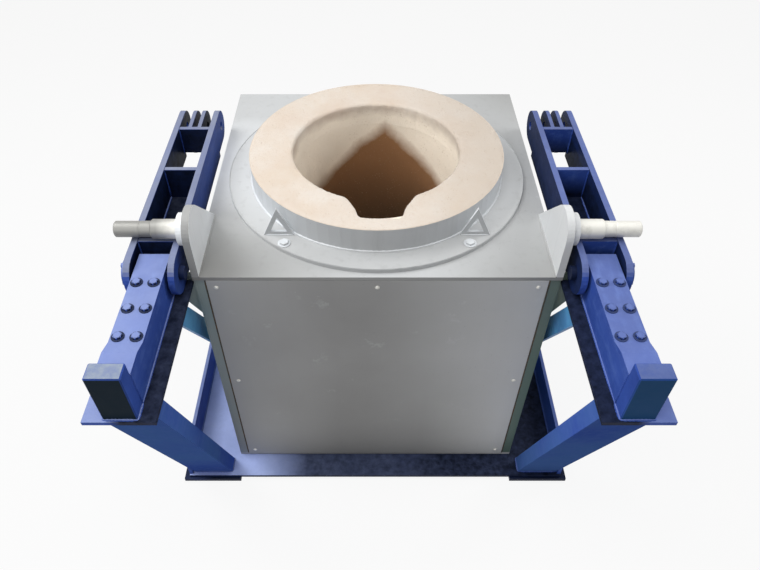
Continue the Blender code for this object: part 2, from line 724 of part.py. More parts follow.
def build_shell_frame(parent):
    """One welded frame: four angle posts and flat rails round the bottom and the top."""
    frame = place(
        "shell_frame",
        block((-FRAME_HALF, FRAME_HALF), (FRAME_FRONT, FRAME_BACK), (FRAME_BOTTOM, FRAME_TOP)),
        GREY_PAINT,
        parent,
    )
    hollow = block(
        (FRAME_THICKNESS - FRAME_HALF, FRAME_HALF - FRAME_THICKNESS),
        (FRAME_FRONT + FRAME_THICKNESS, FRAME_BACK - FRAME_THICKNESS),
        (FRAME_BOTTOM - OVERRUN, FRAME_TOP + OVERRUN),
    )
    combine(frame, cutter("frame_hollow", hollow, parent))
    bay_x = (FRAME_LEG - FRAME_HALF, FRAME_HALF - FRAME_LEG)
    bay_y = (FRAME_FRONT + FRAME_LEG, FRAME_BACK - FRAME_LEG)
    bay_z = (FRAME_BOTTOM + FRAME_RAIL_HEIGHT, FRAME_TOP - FRAME_RAIL_HEIGHT)
    front_bay = block(bay_x, (FRAME_FRONT - OVERRUN, FRAME_BACK + OVERRUN), bay_z)
    side_bay = block((-FRAME_HALF - OVERRUN, FRAME_HALF + OVERRUN), bay_y, bay_z)
    combine(frame, cutter("frame_front_bay", front_bay, parent))
    combine(frame, cutter("frame_side_bay", side_bay, parent))


def panel_screw_places():
    """Where the screws of the front and back panels sit: three down each edge, one top middle."""
    edge = PANEL_HALF_WIDTH - SCREW_EDGE_DISTANCE
    high = BOX_TOP - PLATE_THICKNESS - SCREW_TOP_DROP
    low = BOX_BOTTOM + PLATE_THICKNESS + SCREW_TOP_DROP
    heights = (low, (low + high) / 2, high)
    return [(x, z) for x in (-edge, edge) for z in heights] + [(0, high)]


def coil_lead_heights():
    """The heights of the coil's two ends."""
    return COIL_BOTTOM, COIL_TOP


def lead_holes(piece, name, y_range, parent):
    """Square holes for the coil's two ends, through something at the back."""
    half = COIL_TUBE / 2 + TERMINAL_HOLE_CLEARANCE
    for index, z in enumerate(coil_lead_heights()):
        hole = block((-half, half), y_range, (z - half, z + half))
        combine(piece, cutter(f"{name}_lead_hole_{index}", hole, parent))


def bracket_outline(sign, top):
    """The (x, z) shape of a bracket on a side panel that reaches under the arm's inner plate."""
    root = BOX_HALF - SHEET_SETBACK - WELD_SINK
    arm_face = ARM_INNER_X - GAP
    seat = ARM_BOTTOM - GAP
    tip = ARM_INNER_X + ARM_PLATE
    half = [
        (root, top),
        (arm_face, top),
        (arm_face, seat),
        (tip, seat),
        (tip, seat - BRACKET_LIP),
        (root, seat - BRACKET_DROP),
    ]
    return [(sign * x, z) for x, z in half]


def build_panels(parent):
    """Sheet panels on all four sides: screw heads in front and behind, arm brackets beside."""
    z_range = (
        BOX_BOTTOM + PLATE_THICKNESS + PANEL_REVEAL,
        BOX_TOP - PLATE_THICKNESS - PANEL_REVEAL,
    )
    x_range = (-PANEL_HALF_WIDTH, PANEL_HALF_WIDTH)
    ends = (
        ("front", BOX_FRONT, BOX_FRONT + SHEET_THICKNESS, -1),
        ("back", BOX_BACK, BOX_BACK - SHEET_THICKNESS, 1),
    )
    for end, outside, inside, outward in ends:
        panel = place(
            f"{end}_panel", block(x_range, (outside, inside), z_range), GREY_PAINT, parent
        )
        if end == "back":
            lead_holes(panel, "back_panel", (inside - OVERRUN, outside + OVERRUN), parent)
        for index, (x, z) in enumerate(panel_screw_places()):
            head = bolt_head(
                f"{end}_panel_screw_{index}",
                (x, outside, z),
                (0, outward, 0),
                SCREW_DIAMETER,
                SCREW_HEAD_HEIGHT,
                SCREW_FACETS,
                parent,
            )
            combine(panel, head, "UNION")
    bracket_start = BOX_FRONT + BRACKET_SETBACK
    bracket_y = (bracket_start, bracket_start + BRACKET_THICKNESS)
    for side, sign in SIDES:
        sheet = block(
            (sign * (FRAME_HALF + GAP), sign * (BOX_HALF - SHEET_SETBACK)),
            (FRAME_FRONT, FRAME_BACK),
            z_range,
        )
        panel = place(f"{side}_panel", sheet, GREY_PAINT, parent)
        bracket = upright_prism(bracket_outline(sign, z_range[1]), bracket_y)
        combine(panel, cutter(f"arm_bracket_{side}", bracket, parent), "UNION")


def build_end_plates(parent):
    """The top plate, open over the crucible, and the bottom plate."""
    edge = BOX_HALF - SHEET_SETBACK
    top = place(
        "top_plate",
        block(
            (-BOX_HALF, BOX_HALF), (BOX_FRONT, BOX_BACK), (BOX_TOP - PLATE_THICKNESS, BOX_TOP)
        ),
        GREY_PAINT,
        parent,
    )
    low = (0, RING_Y, BOX_TOP - PLATE_THICKNESS - OVERRUN)
    high = (0, RING_Y, BOX_TOP + OVERRUN)
    opening = rod(low, high, LINING_RADIUS + RUNNING_CLEARANCE, RING_FACETS)
    combine(top, cutter("top_plate_opening", opening, parent))
    place(
        "bottom_plate",
        block(
            (-edge, edge),
            (FRAME_FRONT, FRAME_BACK),
            (BOX_BOTTOM, BOX_BOTTOM + PLATE_THICKNESS),
        ),
        GREY_PAINT,
        parent,
    )


def ring_profile(inner, outer, low, high):
    """The square (radius, z) section of a flat ring."""
    return [(inner, low), (outer, low), (outer, high), (inner, high)]


def build_ring(parent):
    """The bolted flange, the steel collar on it and the refractory ring inside the collar."""
    centre = (0, RING_Y)
    low = BOX_TOP + GAP
    hole = LINING_RADIUS + RUNNING_CLEARANCE
    flange_profile = ring_profile(hole, FLANGE_RADIUS, low, FLANGE_TOP)
    flange = place("ring_flange", turned(flange_profile, centre, RING_FACETS), GREY_PAINT, parent)
    for x_sign in (-1, 1):
        for y_sign in (-1, 1):
            x = x_sign * FLANGE_BOLT_RADIUS * math.cos(FLANGE_BOLT_ANGLE)
            y = RING_Y + y_sign * FLANGE_BOLT_RADIUS * math.sin(FLANGE_BOLT_ANGLE)
            head = bolt_head(
                f"flange_bolt_{x_sign}_{y_sign}",
                (x, y, FLANGE_TOP),
                (0, 0, 1),
                FLANGE_BOLT_WIDTH,
                FLANGE_BOLT_HEIGHT,
                BOLT_FACETS,
                parent,
            )
            combine(flange, head, "UNION")
    foot = FLANGE_TOP + GAP
    inner = COLLAR_RADIUS - COLLAR_WALL
    collar_profile = ring_profile(inner, COLLAR_RADIUS, foot, RING_TOP)
    collar = turned(collar_profile, centre, RING_FACETS)
    place("ring_collar", collar, GREY_PAINT, parent, smooth=True)
    build_refractory_ring(centre, foot, parent)


def build_refractory_ring(centre, foot, parent):
    """The top ring of refractory, with the pouring notch cut into its front."""
    outer = REFRACTORY_RADIUS
    profile = [
        (BORE_RADIUS, foot),
        (outer, foot),
        (outer, RING_TOP - REFRACTORY_BEVEL),
        (outer - REFRACTORY_BEVEL, RING_TOP),
        (BORE_RADIUS + REFRACTORY_BEVEL, RING_TOP),
        (BORE_RADIUS, RING_TOP - REFRACTORY_BEVEL),
    ]
    ring = place(
        "refractory_ring", turned(profile, centre, RING_FACETS), REFRACTORY, parent, smooth=True
    )
    front = RING_Y - outer + NOTCH_FRONT_WALL
    bore_y = RING_Y - BORE_RADIUS * math.cos(math.asin(NOTCH_BORE_HALF_WIDTH / BORE_RADIUS))
    shoulder_y = front + NOTCH_SHOULDER
    halfway_x = (NOTCH_MIDDLE_HALF_WIDTH + NOTCH_BORE_HALF_WIDTH) / 2
    right = [
        (NOTCH_FRONT_HALF_WIDTH, front),
        (NOTCH_MIDDLE_HALF_WIDTH, shoulder_y),
        (halfway_x, (shoulder_y + bore_y) / 2),
        (NOTCH_BORE_HALF_WIDTH, bore_y),
        (0, RING_Y),
    ]
    left = [(-x, y) for x, y in reversed(right[:-1])]
    notch = flat_prism(right + left, RING_TOP - NOTCH_DEPTH, RING_TOP + OVERRUN)
    combine(ring, cutter("pouring_notch", notch, parent))


def build_lugs(parent):
    """The two lifting lugs in front of the collar: triangles of bar, open in the middle."""
    foot = FLANGE_TOP + GAP
    back = RING_Y - math.sqrt((COLLAR_RADIUS + GAP) ** 2 - LUG_INNER_X**2)
    y_range = (back - LUG_THICKNESS, back)
    slope = math.atan2(LUG_HEIGHT, LUG_WIDTH / 2)
    inset = LUG_BAR / math.tan(slope / 2)
    rise = LUG_HEIGHT - LUG_BAR - LUG_BAR / math.cos(slope)
    for side, sign in SIDES:
        middle = sign * (LUG_INNER_X + LUG_WIDTH / 2)
        outer = [
            (middle - LUG_WIDTH / 2, foot),
            (middle + LUG_WIDTH / 2, foot),
            (middle, foot + LUG_HEIGHT),
        ]
        window = [
            (middle - LUG_WIDTH / 2 + inset, foot + LUG_BAR),
            (middle + LUG_WIDTH / 2 - inset, foot + LUG_BAR),
            (middle, foot + LUG_BAR + rise),
        ]
        lug = place(f"lifting_lug_{side}", upright_prism(outer, y_range), GREY_PAINT, parent)
        over = (y_range[0] - OVERRUN, y_range[1] + OVERRUN)
        combine(lug, cutter(f"lug_window_{side}", upright_prism(window, over), parent))


def upright_prism(outline, y_range):
    """A plate whose (x, z) outline runs from one y to the other."""
    mesh_data = side_prism(outline, y_range[0], y_range[1])
    for corner in mesh_data.verts:
        corner.co = Vector((corner.co.y, corner.co.x, corner.co.z))
    return mesh_data


def build_crucible(parent):
    """The lining that holds the melt and the slab that it stands on."""
    floor = LINING_BOTTOM + LINING_FLOOR
    profile = [
        (LINING_RADIUS, FLANGE_TOP),
        (LINING_RADIUS, LINING_BOTTOM),
        (0, LINING_BOTTOM),
        (0, floor),
        (BORE_RADIUS - LINING_FLOOR_FILLET, floor),
        (BORE_RADIUS, floor + LINING_FLOOR_FILLET),
        (BORE_RADIUS, FLANGE_TOP),
    ]
    lining = turned(profile, (0, RING_Y), RING_FACETS)
    place("crucible_lining", lining, REFRACTORY, parent, smooth=True)
    low = (0, RING_Y, BOX_BOTTOM + PLATE_THICKNESS + GAP)
    high = (0, RING_Y, LINING_BOTTOM - GAP)
    slab = rod(low, high, LINING_RADIUS + SLAB_MARGIN, RING_FACETS)
    place("base_slab", slab, CASTABLE, parent, smooth=True)


def coil_path():
    """The centre line of the coil: out of the back, round the crucible, out of the back."""
    steps = COIL_TURNS * COIL_FACETS
    tip = BOARD_BACK + COIL_TERMINAL_REACH
    path = [Vector((0, tip, COIL_BOTTOM))]
    for step in range(steps + 1):
        share = step / steps
        angle = math.pi / 2 + math.tau * COIL_TURNS * share
        path.append(
            Vector(
                (
                    COIL_RADIUS * math.cos(angle),
                    RING_Y + COIL_RADIUS * math.sin(angle),
                    COIL_BOTTOM + (COIL_TOP - COIL_BOTTOM) * share,
                )
            )
        )
    path.append(Vector((0, tip, COIL_TOP)))
    return path


def square_tube(path, side):
    """A square bar swept along a path that is nearly level, mitred where it turns."""
    mesh_data = bmesh.new()
    rings = []
    last = len(path) - 1
    for index, point in enumerate(path):
        before = (point - path[max(index - 1, 0)]).xy
        after = (path[min(index + 1, last)] - point).xy
        before = before.normalized() if index else after.normalized()
        after = after.normalized() if index < last else before
        across = (before + after).normalized()
        normal = Vector((across.y, -across.x, 0)) / across.dot(before)
        up = Vector((0, 0, side / 2))
        offset = normal * side / 2
        corners = [point + offset * a + up * b for a, b in ((-1, -1), (1, -1), (1, 1), (-1, 1))]
        rings.append([mesh_data.verts.new(corner) for corner in corners])
    for ring, following in zip(rings, rings[1:]):
        for index in range(len(ring)):
            ahead = (index + 1) % len(ring)
            mesh_data.faces.new((ring[index], ring[ahead], following[ahead], following[index]))
    mesh_data.faces.new(rings[0])
    mesh_data.faces.new(rings[-1])
    return mesh_data


def build_coil(parent):
    """The copper coil, the cage of insulating posts round it and the terminal board."""
    place("induction_coil", square_tube(coil_path(), COIL_TUBE), COPPER, parent)
    low = BOX_BOTTOM + PLATE_THICKNESS + GAP
    high = BOX_TOP - PLATE_THICKNESS - GAP
    inner = COIL_RADIUS + COIL_TUBE / 2 + GAP
    ring_profile = [
        (inner, low),
        (inner + CAGE_POST_DEPTH, low),
        (inner + CAGE_POST_DEPTH, low + CAGE_RING_HEIGHT),
        (inner, low + CAGE_RING_HEIGHT),
    ]
    cage = place("coil_cage", turned(ring_profile, (0, RING_Y), RING_FACETS), BOARD, parent)
    inner_face = inner + RUNNING_CLEARANCE
    for index in range(CAGE_POSTS):
        post = block(
            (inner_face, inner_face + CAGE_POST_DEPTH),
            (-CAGE_POST_WIDTH / 2, CAGE_POST_WIDTH / 2),
            (low, high),
        )
        turn = Matrix.Rotation(math.tau * index / CAGE_POSTS, 4, "Z")
        bmesh.ops.transform(
            post, matrix=Matrix.Translation((0, RING_Y, 0)) @ turn, verts=post.verts
        )
        combine(cage, cutter(f"cage_post_{index}", post, parent), "UNION")
    half = TERMINAL_BOARD_WIDTH / 2
    middle = (COIL_TOP + COIL_BOTTOM) / 2
    board = place(
        "terminal_board",
        block(
            (-half, half),
            (BOX_BACK + GAP, BOARD_BACK),
            (middle - TERMINAL_BOARD_HEIGHT / 2, middle + TERMINAL_BOARD_HEIGHT / 2),
        ),
        BOARD,
        parent,
    )
    lead_holes(board, "terminal_board", (BOX_BACK - OVERRUN, BOARD_BACK + OVERRUN), parent)


def empty(name, location):
    """An empty that carries the pieces of one body."""
    carrier = bpy.data.objects.new(name, None)
    carrier.location = location
    bpy.context.scene.collection.objects.link(carrier)
    return carrier


def build():
    for old in list(bpy.data.objects):
        bpy.data.objects.remove(old, do_unlink=True)
    stand = empty("stand_frame", (0, 0, 0))
    tilt_axis = empty("tilt_axis", (0, PIN_Y, PIN_Z))
    build_feet(stand)
    build_base(stand)
    build_legs(stand)
    build_pivot_beams(stand)
    build_arm_plates(tilt_axis)
    build_arm_cross_plates(tilt_axis)
    build_pin_covers(tilt_axis)
    build_trunnions(tilt_axis)
    build_shell_frame(tilt_axis)
    build_end_plates(tilt_axis)
    build_panels(tilt_axis)
    build_ring(tilt_axis)
    build_lugs(tilt_axis)
    build_crucible(tilt_axis)
    build_coil(tilt_axis)


build()
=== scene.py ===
"""Finishes and fine shapes of the tilting induction melting furnace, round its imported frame."""

import json
import math

import bmesh
import bpy
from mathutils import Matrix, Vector, noise


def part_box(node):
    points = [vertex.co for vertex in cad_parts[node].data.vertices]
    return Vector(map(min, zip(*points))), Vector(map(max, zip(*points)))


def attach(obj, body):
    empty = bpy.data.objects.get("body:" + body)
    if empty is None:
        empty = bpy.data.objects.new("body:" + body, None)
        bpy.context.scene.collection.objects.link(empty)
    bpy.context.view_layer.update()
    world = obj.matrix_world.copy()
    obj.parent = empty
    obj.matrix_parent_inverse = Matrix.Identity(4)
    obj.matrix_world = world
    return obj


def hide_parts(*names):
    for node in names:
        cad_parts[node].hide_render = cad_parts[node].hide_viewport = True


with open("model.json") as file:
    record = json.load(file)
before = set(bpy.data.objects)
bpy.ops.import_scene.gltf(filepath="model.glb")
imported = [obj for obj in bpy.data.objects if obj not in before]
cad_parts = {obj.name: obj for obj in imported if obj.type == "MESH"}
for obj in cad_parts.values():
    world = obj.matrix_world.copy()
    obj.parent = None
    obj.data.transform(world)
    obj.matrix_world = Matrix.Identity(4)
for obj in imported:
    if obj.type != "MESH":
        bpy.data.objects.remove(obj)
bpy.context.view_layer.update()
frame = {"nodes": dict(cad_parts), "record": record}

# Places read from the frame
PLATE_LOW, PLATE_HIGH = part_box("top_plate")
BOX_TOP = PLATE_HIGH.z
BOX_FRONT = PLATE_LOW.y
BOX_BACK = PLATE_HIGH.y
COLLAR_LOW, COLLAR_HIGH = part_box("ring_collar")
FLANGE_LOW, FLANGE_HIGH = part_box("ring_flange")
REFRACTORY_LOW, REFRACTORY_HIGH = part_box("refractory_ring")
LINING_LOW, LINING_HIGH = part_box("crucible_lining")
RING_X = 0.0
RING_Y = (COLLAR_LOW.y + COLLAR_HIGH.y) / 2
RING_TOP = REFRACTORY_HIGH.z
COLLAR_RADIUS = (COLLAR_HIGH.x - COLLAR_LOW.x) / 2
FLANGE_RADIUS = (FLANGE_HIGH.x - FLANGE_LOW.x) / 2
RING_RADIUS = (REFRACTORY_HIGH.x - REFRACTORY_LOW.x) / 2
LINING_RADIUS = (LINING_HIGH.x - LINING_LOW.x) / 2
ARM_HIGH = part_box("arm_inner_plate_right")[1]
ARM_TOP = ARM_HIGH.z
CELL_INNER_X = ARM_HIGH.x
CELL_OUTER_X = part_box("arm_outer_plate_right")[0].x

# The two sides, with the way that each looks along X
SIDES = {"left": -1, "right": 1}

# A distance that keeps points apart, and the refractory's thickness over the collar's rim
TINY = 0.0004
SKIM = 0.0008

# Measures in metres that the frame's boxes don't give
LINING_WALL = 0.032
LINING_FLOOR = 0.080
FLOOR_FILLET = 0.060
BORE_RADIUS = LINING_RADIUS - LINING_WALL
FLANGE_TOP = FLANGE_HIGH.z - 0.008
FLANGE_BOLT_INSET = 0.023
FLANGE_BOLT_ANGLE = math.radians(53.8)
CAP_TOP = BOX_TOP + 0.073
CAP_BOLT_SIDE = 0.0225
CAP_BOLT_PITCH = 0.092
SHAFT_END_RADIUS = 0.0225
SHAFT_SHOULDER = 0.096
COVER_THICK = 0.012
COVER_BOLT_CIRCLE = 0.027
SHEET_THICK = 0.004
SHEET_BOW = 0.0012
SCREW_INSET = 0.026
SCREW_RISE = 0.0265
BOARD_BOLT_INSET = 0.018
STRUT_DEPTHS = {"front": 0.055, "rear": 0.071}
STOP_RISE = 0.085
TIE_THICK = 0.015
# Where the painted shade on the shelf plates stops, out from the middle
SHELF_LIT_X = CELL_OUTER_X - 0.020

# Bolt heads: width over flats, height and the washer's radius
CAP_BOLT = (0.0206, 0.0084, 0.0165)
FLANGE_BOLT = (0.0246, 0.0084, 0.019)
COVER_BOLT = (0.0142, 0.0078, 0.0105)
BOARD_BOLT = (0.016, 0.008, 0.0125)

# A domed screw on its washer, as heights over the sheet and radii
SCREW_OUTLINE = ((0.0, 0.0070), (0.0008, 0.0070), (0.0010, 0.0056), (0.0016, 0.0056),
                 (0.0028, 0.0048), (0.0035, 0.0034), (0.0037, 0.0015))

# Weld beads: the radius of each kind, the round of one, and how it ripples along its seam
BEADS = {"tie": 0.0030, "lug": 0.0032, "floor": 0.0034, "beam": 0.0036, "rail": 0.0038,
         "block": 0.0042, "foot": 0.0045}
BEAD_TURNS = [math.tau * side / 8 for side in range(8)]
BEAD_ROUND = [(math.cos(turn), math.sin(turn)) for turn in BEAD_TURNS]
BEAD_INSET = 0.004
RIPPLE = 0.16
RIPPLE_TURN = 2.1

# Rounded corners, and the angles that part smooth faces from hard edges
EDGE_WIDTH = 0.0016
EDGE_SHARE = 0.2
BEVEL_ABOVE = math.radians(40)
SMOOTH_BELOW = math.radians(38)

# Pouring notch, seen from above: half widths and places in front of the ring's centre
NOTCH_OFFSET = 0.009
NOTCH_DEPTH = 0.068
NOTCH_FRONT = RING_RADIUS - 0.046
NOTCH_SIDE = (
    (0.061, NOTCH_FRONT), (0.0745, NOTCH_FRONT - 0.049), (0.089, 0.274), (0.104, 0.247)
)
NOTCH_OUTLINE = [(NOTCH_OFFSET - x, -y) for x, y in reversed(NOTCH_SIDE)]
NOTCH_OUTLINE += [(x + NOTCH_OFFSET, -y) for x, y in NOTCH_SIDE]
NOTCH_ROUNDING = math.radians(1.6)
NOTCH_REACH = math.radians(34)

# The bore's brown, partly scorched and partly painted shadow, reaches highest at this place
# across and slopes down beside it
BROWN_AND_SHADOW_MIDDLE_X = 0.035
BROWN_AND_SHADOW_SLOPE = 0.80

# Camera: its place in the frame, how far it looks down, its lens and its sideways shift
CAMERA_PLACE = (-0.0241, BOX_FRONT - 1.2879, BOX_TOP + 1.2940)
CAMERA_DOWN = math.radians(45.795)
CAMERA_LENS = 30.905
CAMERA_SHIFT = 0.01463

# Light: the surround's level, the floor's white share, which keeps the shadow, and the lamps
WORLD_LEVEL = 0.20
FLOOR_WHITE_SHARE = 0.90
LAMPS = (
    ("left_soft_box", (-2.8, 0.5, 3.8), 2.2, 110.0),
    ("right_soft_box", (3.1, 0.9, 3.0), 1.8, 55.0),
    ("top_soft_box", (-0.3, -0.9, 4.4), 2.4, 73.0),
    ("front_fill", (-1.6, -3.2, 2.8), 2.2, 33.0),
)


class Field:
    """A number, colour or vector that varies over a surface, with arithmetic on numbers."""

    def __init__(self, finish, socket):
        self.finish = finish
        self.socket = socket

    def maths(self, operation, left, right, clamp=False):
        """A maths node on two numbers or fields."""
        settings = {"operation": operation, "use_clamp": clamp}
        return self.finish.node("ShaderNodeMath", settings, {0: left, 1: right})

    def __add__(self, other):
        return self.maths("ADD", self, other)

    def __sub__(self, other):
        return self.maths("SUBTRACT", self, other)

    def __rsub__(self, other):
        return self.maths("SUBTRACT", other, self)

    def __mul__(self, other):
        return self.maths("MULTIPLY", self, other)

    def __pow__(self, other):
        return self.maths("POWER", self, other)

    __radd__ = __add__
    __rmul__ = __mul__

    def away_from(self, centre):
        """How far the number lies from a centre, on either side."""
        apart = self - centre
        return apart.maths("ABSOLUTE", apart, 0.0)

    def clamped(self):
        """The number kept from 0 to 1."""
        return self.maths("ADD", self, 0.0, clamp=True)

    def between(self, low, high):
        """0 at low, 1 at high and even between them; low may be the larger one."""
        sockets = {"Value": self, "From Min": low, "From Max": high}
        return self.finish.node("ShaderNodeMapRange", {"clamp": True}, sockets)


class Finish:
    """The node tree of one material."""

    def __init__(self, name, roughness=0.5, metallic=0.0, specular=0.5):
        self.material = bpy.data.materials.new(name)
        self.material.use_nodes = True
        self.tree = self.material.node_tree
        self.shader = self.tree.nodes["Principled BSDF"]
        self.shader.inputs["Roughness"].default_value = roughness
        self.shader.inputs["Metallic"].default_value = metallic
        self.shader.inputs["Specular IOR Level"].default_value = specular
        self.place = self.node("ShaderNodeTexCoord", output="Object")

    def node(self, kind, settings=None, sockets=None, output=0):
        """A new node with its settings and inputs; gives the field of one output."""
        made = self.tree.nodes.new(kind)
        for key, value in (settings or {}).items():
            setattr(made, key, value)
        for key, value in (sockets or {}).items():
            if isinstance(value, Field):
                self.tree.links.new(value.socket, made.inputs[key])
            else:
                made.inputs[key].default_value = value
        return Field(self, made.outputs[output])

    def noise(self, scale, detail=3.0, roughness=0.55, stretch=None):
        """Clouds from 0 to 1, finer with the scale and drawn out by a stretch."""
        sockets = {
            "Vector": self.stretched(stretch) if stretch else self.place,
            "Scale": scale,
            "Detail": detail,
            "Roughness": roughness,
        }
        return self.node("ShaderNodeTexNoise", None, sockets)

    def cells(self, scale):
        """The distance to the nearest of many scattered points."""
        sockets = {"Vector": self.place, "Scale": scale}
        return self.node("ShaderNodeTexVoronoi", None, sockets, "Distance")

    def stretched(self, stretch):
        """The place with each axis multiplied."""
        settings = {"operation": "MULTIPLY"}
        return self.node("ShaderNodeVectorMath", settings, {0: self.place, 1: stretch})

    def axis(self, name, source=None):
        """One axis of the place or of another vector."""
        return self.node("ShaderNodeSeparateXYZ", None, {"Vector": source or self.place}, name)

    def facing(self, name, low, high):
        """1 on faces that look along an axis: low and high are its share of the normal."""
        normal = self.node("ShaderNodeTexCoord", output="Normal")
        return self.axis(name, normal).between(low, high)

    def forward(self):
        """1 on faces that look forwards."""
        return self.facing("Y", -0.55, -0.95)

    def leftward(self):
        """1 on the left side of the furnace, 0 on the right and even between."""
        return self.axis("X").between(0.3, -0.3)

    def mix(self, share, first, second):
        """Two colours mixed by a share of the second."""
        first, second = (colour if isinstance(colour, Field) else (*colour, 1.0)
                         for colour in (first, second))
        sockets = {0: share, 6: first, 7: second}
        return self.node("ShaderNodeMix", {"data_type": "RGBA"}, sockets, 2)

    def feed(self, socket, value):
        """Links a field to an input of the shader."""
        self.tree.links.new(value.socket, self.shader.inputs[socket])

    def complete(self, colour, roughness, relief, depth, strength):
        """Feeds colour, roughness and a fine relief to the shader, and gives the material."""
        self.feed("Base Color", colour)
        self.feed("Roughness", roughness.clamped())
        sockets = {"Height": relief, "Distance": depth, "Strength": strength}
        self.feed("Normal", self.node("ShaderNodeBump", None, sockets, "Normal"))
        return self.material


class Backdrop(Finish):
    """The node tree of the world."""

    def __init__(self, name):
        self.material = bpy.data.worlds.new(name)
        self.material.use_nodes = True
        self.tree = self.material.node_tree
        self.shader = self.tree.nodes["Background"]
        self.shader.inputs["Color"].default_value = (*WHITE, 1.0)


# Colours, as linear light
WHITE = (1.0, 1.0, 1.0)
FLOOR_LIGHT = (0.620, 0.620, 0.620)
FLOOR_DARK = (0.580, 0.580, 0.580)
BLUE = (0.044, 0.096, 0.400)
BLUE_DEEP = (0.024, 0.056, 0.260)
BLUE_PALE = (0.090, 0.160, 0.470)
BLUE_GREEN = (0.045, 0.150, 0.360)
BLUE_BRIGHT = (0.170, 0.560, 0.900)
# Grease black, also the colour of painted shade on the blue
GREASE_AND_SHADE = (0.005, 0.008, 0.020)
# Stop blocks: painted shade on the fronts, and tops rubbed grey with painted light
BLOCK_SHADE_DARK = (0.003, 0.010, 0.014)
BLOCK_SHADE_TEAL = (0.008, 0.055, 0.125)
BLOCK_RUBBED_AND_LIT = (0.265, 0.305, 0.360)
# Pale tops on the blue, dusty and with a painted sheen: plain, brighter on the base, greyer on
# the arms
DUST_AND_SHEEN = (0.360, 0.420, 0.620)
DUST_AND_SHEEN_BRIGHT = (0.520, 0.620, 0.980)
DUST_AND_SHEEN_GREY = (0.275, 0.290, 0.310)
PRIMER = (0.210, 0.200, 0.205)
SHEET_GREY = (0.335, 0.335, 0.332)
SHEET_GREY_WARM = (0.262, 0.260, 0.255)
SHEET_SHADE = (0.175, 0.174, 0.171)
# Grey of painted shade on the plates, ears and collar
PLATE_SHADE = (0.235, 0.235, 0.227)
PLATE_GREY = (0.600, 0.610, 0.612)
PLATE_GREY_DARK = (0.480, 0.492, 0.500)
TOP_GREY = (0.510, 0.520, 0.522)
TOP_GREY_DARK = (0.440, 0.450, 0.455)
POST_GREEN_GREY = (0.260, 0.345, 0.330)
POST_SHADE = (0.050, 0.100, 0.065)
COLLAR_BLUE_GREY = (0.680, 0.715, 0.750)
COLLAR_PALE = (0.780, 0.800, 0.815)
STEEL = (0.690, 0.680, 0.630)
STEEL_DARK = (0.400, 0.393, 0.365)
STEEL_SHADE = (0.230, 0.228, 0.215)
CREAM = (0.590, 0.500, 0.412)
CREAM_PINK = (0.570, 0.465, 0.385)
CREAM_WHITE = (0.630, 0.575, 0.515)
# Painted shade on the ring's right side
CREAM_SHADE = (0.470, 0.410, 0.350)
# Painted light on the upper bore wall
PAINTED_LIGHT_CREAM = (0.970, 0.880, 0.745)
TAN = (0.560, 0.400, 0.270)
BROWN = (0.270, 0.132, 0.056)
SOOT = (0.130, 0.072, 0.034)
STONE = (0.420, 0.385, 0.335)
COPPER = (0.720, 0.340, 0.190)
COPPER_DARK = (0.330, 0.150, 0.090)
BOARD = (0.250, 0.120, 0.070)
GASKET = (0.030, 0.045, 0.038)


def blue_enamel(name="blue_enamel", worn=0.0, oily=0.0, dust_and_sheen_share=0.55, greenish=0.0, painted_shade=None,
                coats=(BLUE_DEEP, BLUE), specular=0.07, dust_and_sheen_colour=DUST_AND_SHEEN, dust_and_sheen_from=0.45):
    """Brushed blue enamel on structural steel: uneven film, chipped to primer, and pale on top,
    dusty and with a painted sheen, which is painted stronger on the left as if lit from there.

    One argument takes the finish and gives the share of painted shade, in grease black, over
    its places; the last argument is the upward share of the normal at which the pale tops start.
    """
    finish = Finish(name, specular=specular)
    film = finish.noise(2.2, 4.0, 0.6)
    fine = finish.noise(38.0, 4.0, 0.65)
    strokes = finish.noise(9.0, 3.0, 0.6, stretch=(6.0, 0.8, 6.0))
    colour = finish.mix(film.between(0.32, 0.68), *coats)
    colour = finish.mix(film.between(0.38, 0.62) * greenish, colour, BLUE_GREEN)
    colour = finish.mix((fine * strokes).between(0.22, 0.40) * 0.40, colour, BLUE_PALE)
    # Pale tops, dusty and with a painted sheen, painted stronger on the left as if lit from there
    upward = finish.facing("Z", dust_and_sheen_from, dust_and_sheen_from * 0.4 + 0.6)
    painted_light_from_left = finish.axis("X").between(0.45, -0.45) * 0.50 + 0.50
    dust_and_sheen = upward * painted_light_from_left * (finish.noise(6.0, 5.0, 0.7).between(0.25, 0.75) * 0.35 + 0.65)
    colour = finish.mix(dust_and_sheen * dust_and_sheen_share, colour, dust_and_sheen_colour)
    if oily:
        colour = finish.mix(film.between(0.10, 0.45) * oily, colour, GREASE_AND_SHADE)
    # Painted shade in grease black
    if painted_shade:
        colour = finish.mix((painted_shade(finish) * (fine * 0.3 + 0.80)).clamped(), colour, GREASE_AND_SHADE)
    chips = finish.noise(70.0, 5.0, 0.75).between(0.70 - worn * 0.22, 0.72 - worn * 0.20)
    spots = finish.cells(26.0).between(0.30, 0.05) * chips
    chipped = (spots + chips * worn).clamped()
    colour = finish.mix(chipped, colour, PRIMER)
    roughness = 0.32 + fine * 0.16 + dust_and_sheen * 0.22 + chipped * 0.20
    relief = fine * 0.35 + finish.noise(260.0, 2.0) * 0.30 + strokes * 0.3 - chipped * 0.5
    return finish.complete(colour, roughness, relief, 0.0009, 0.55)


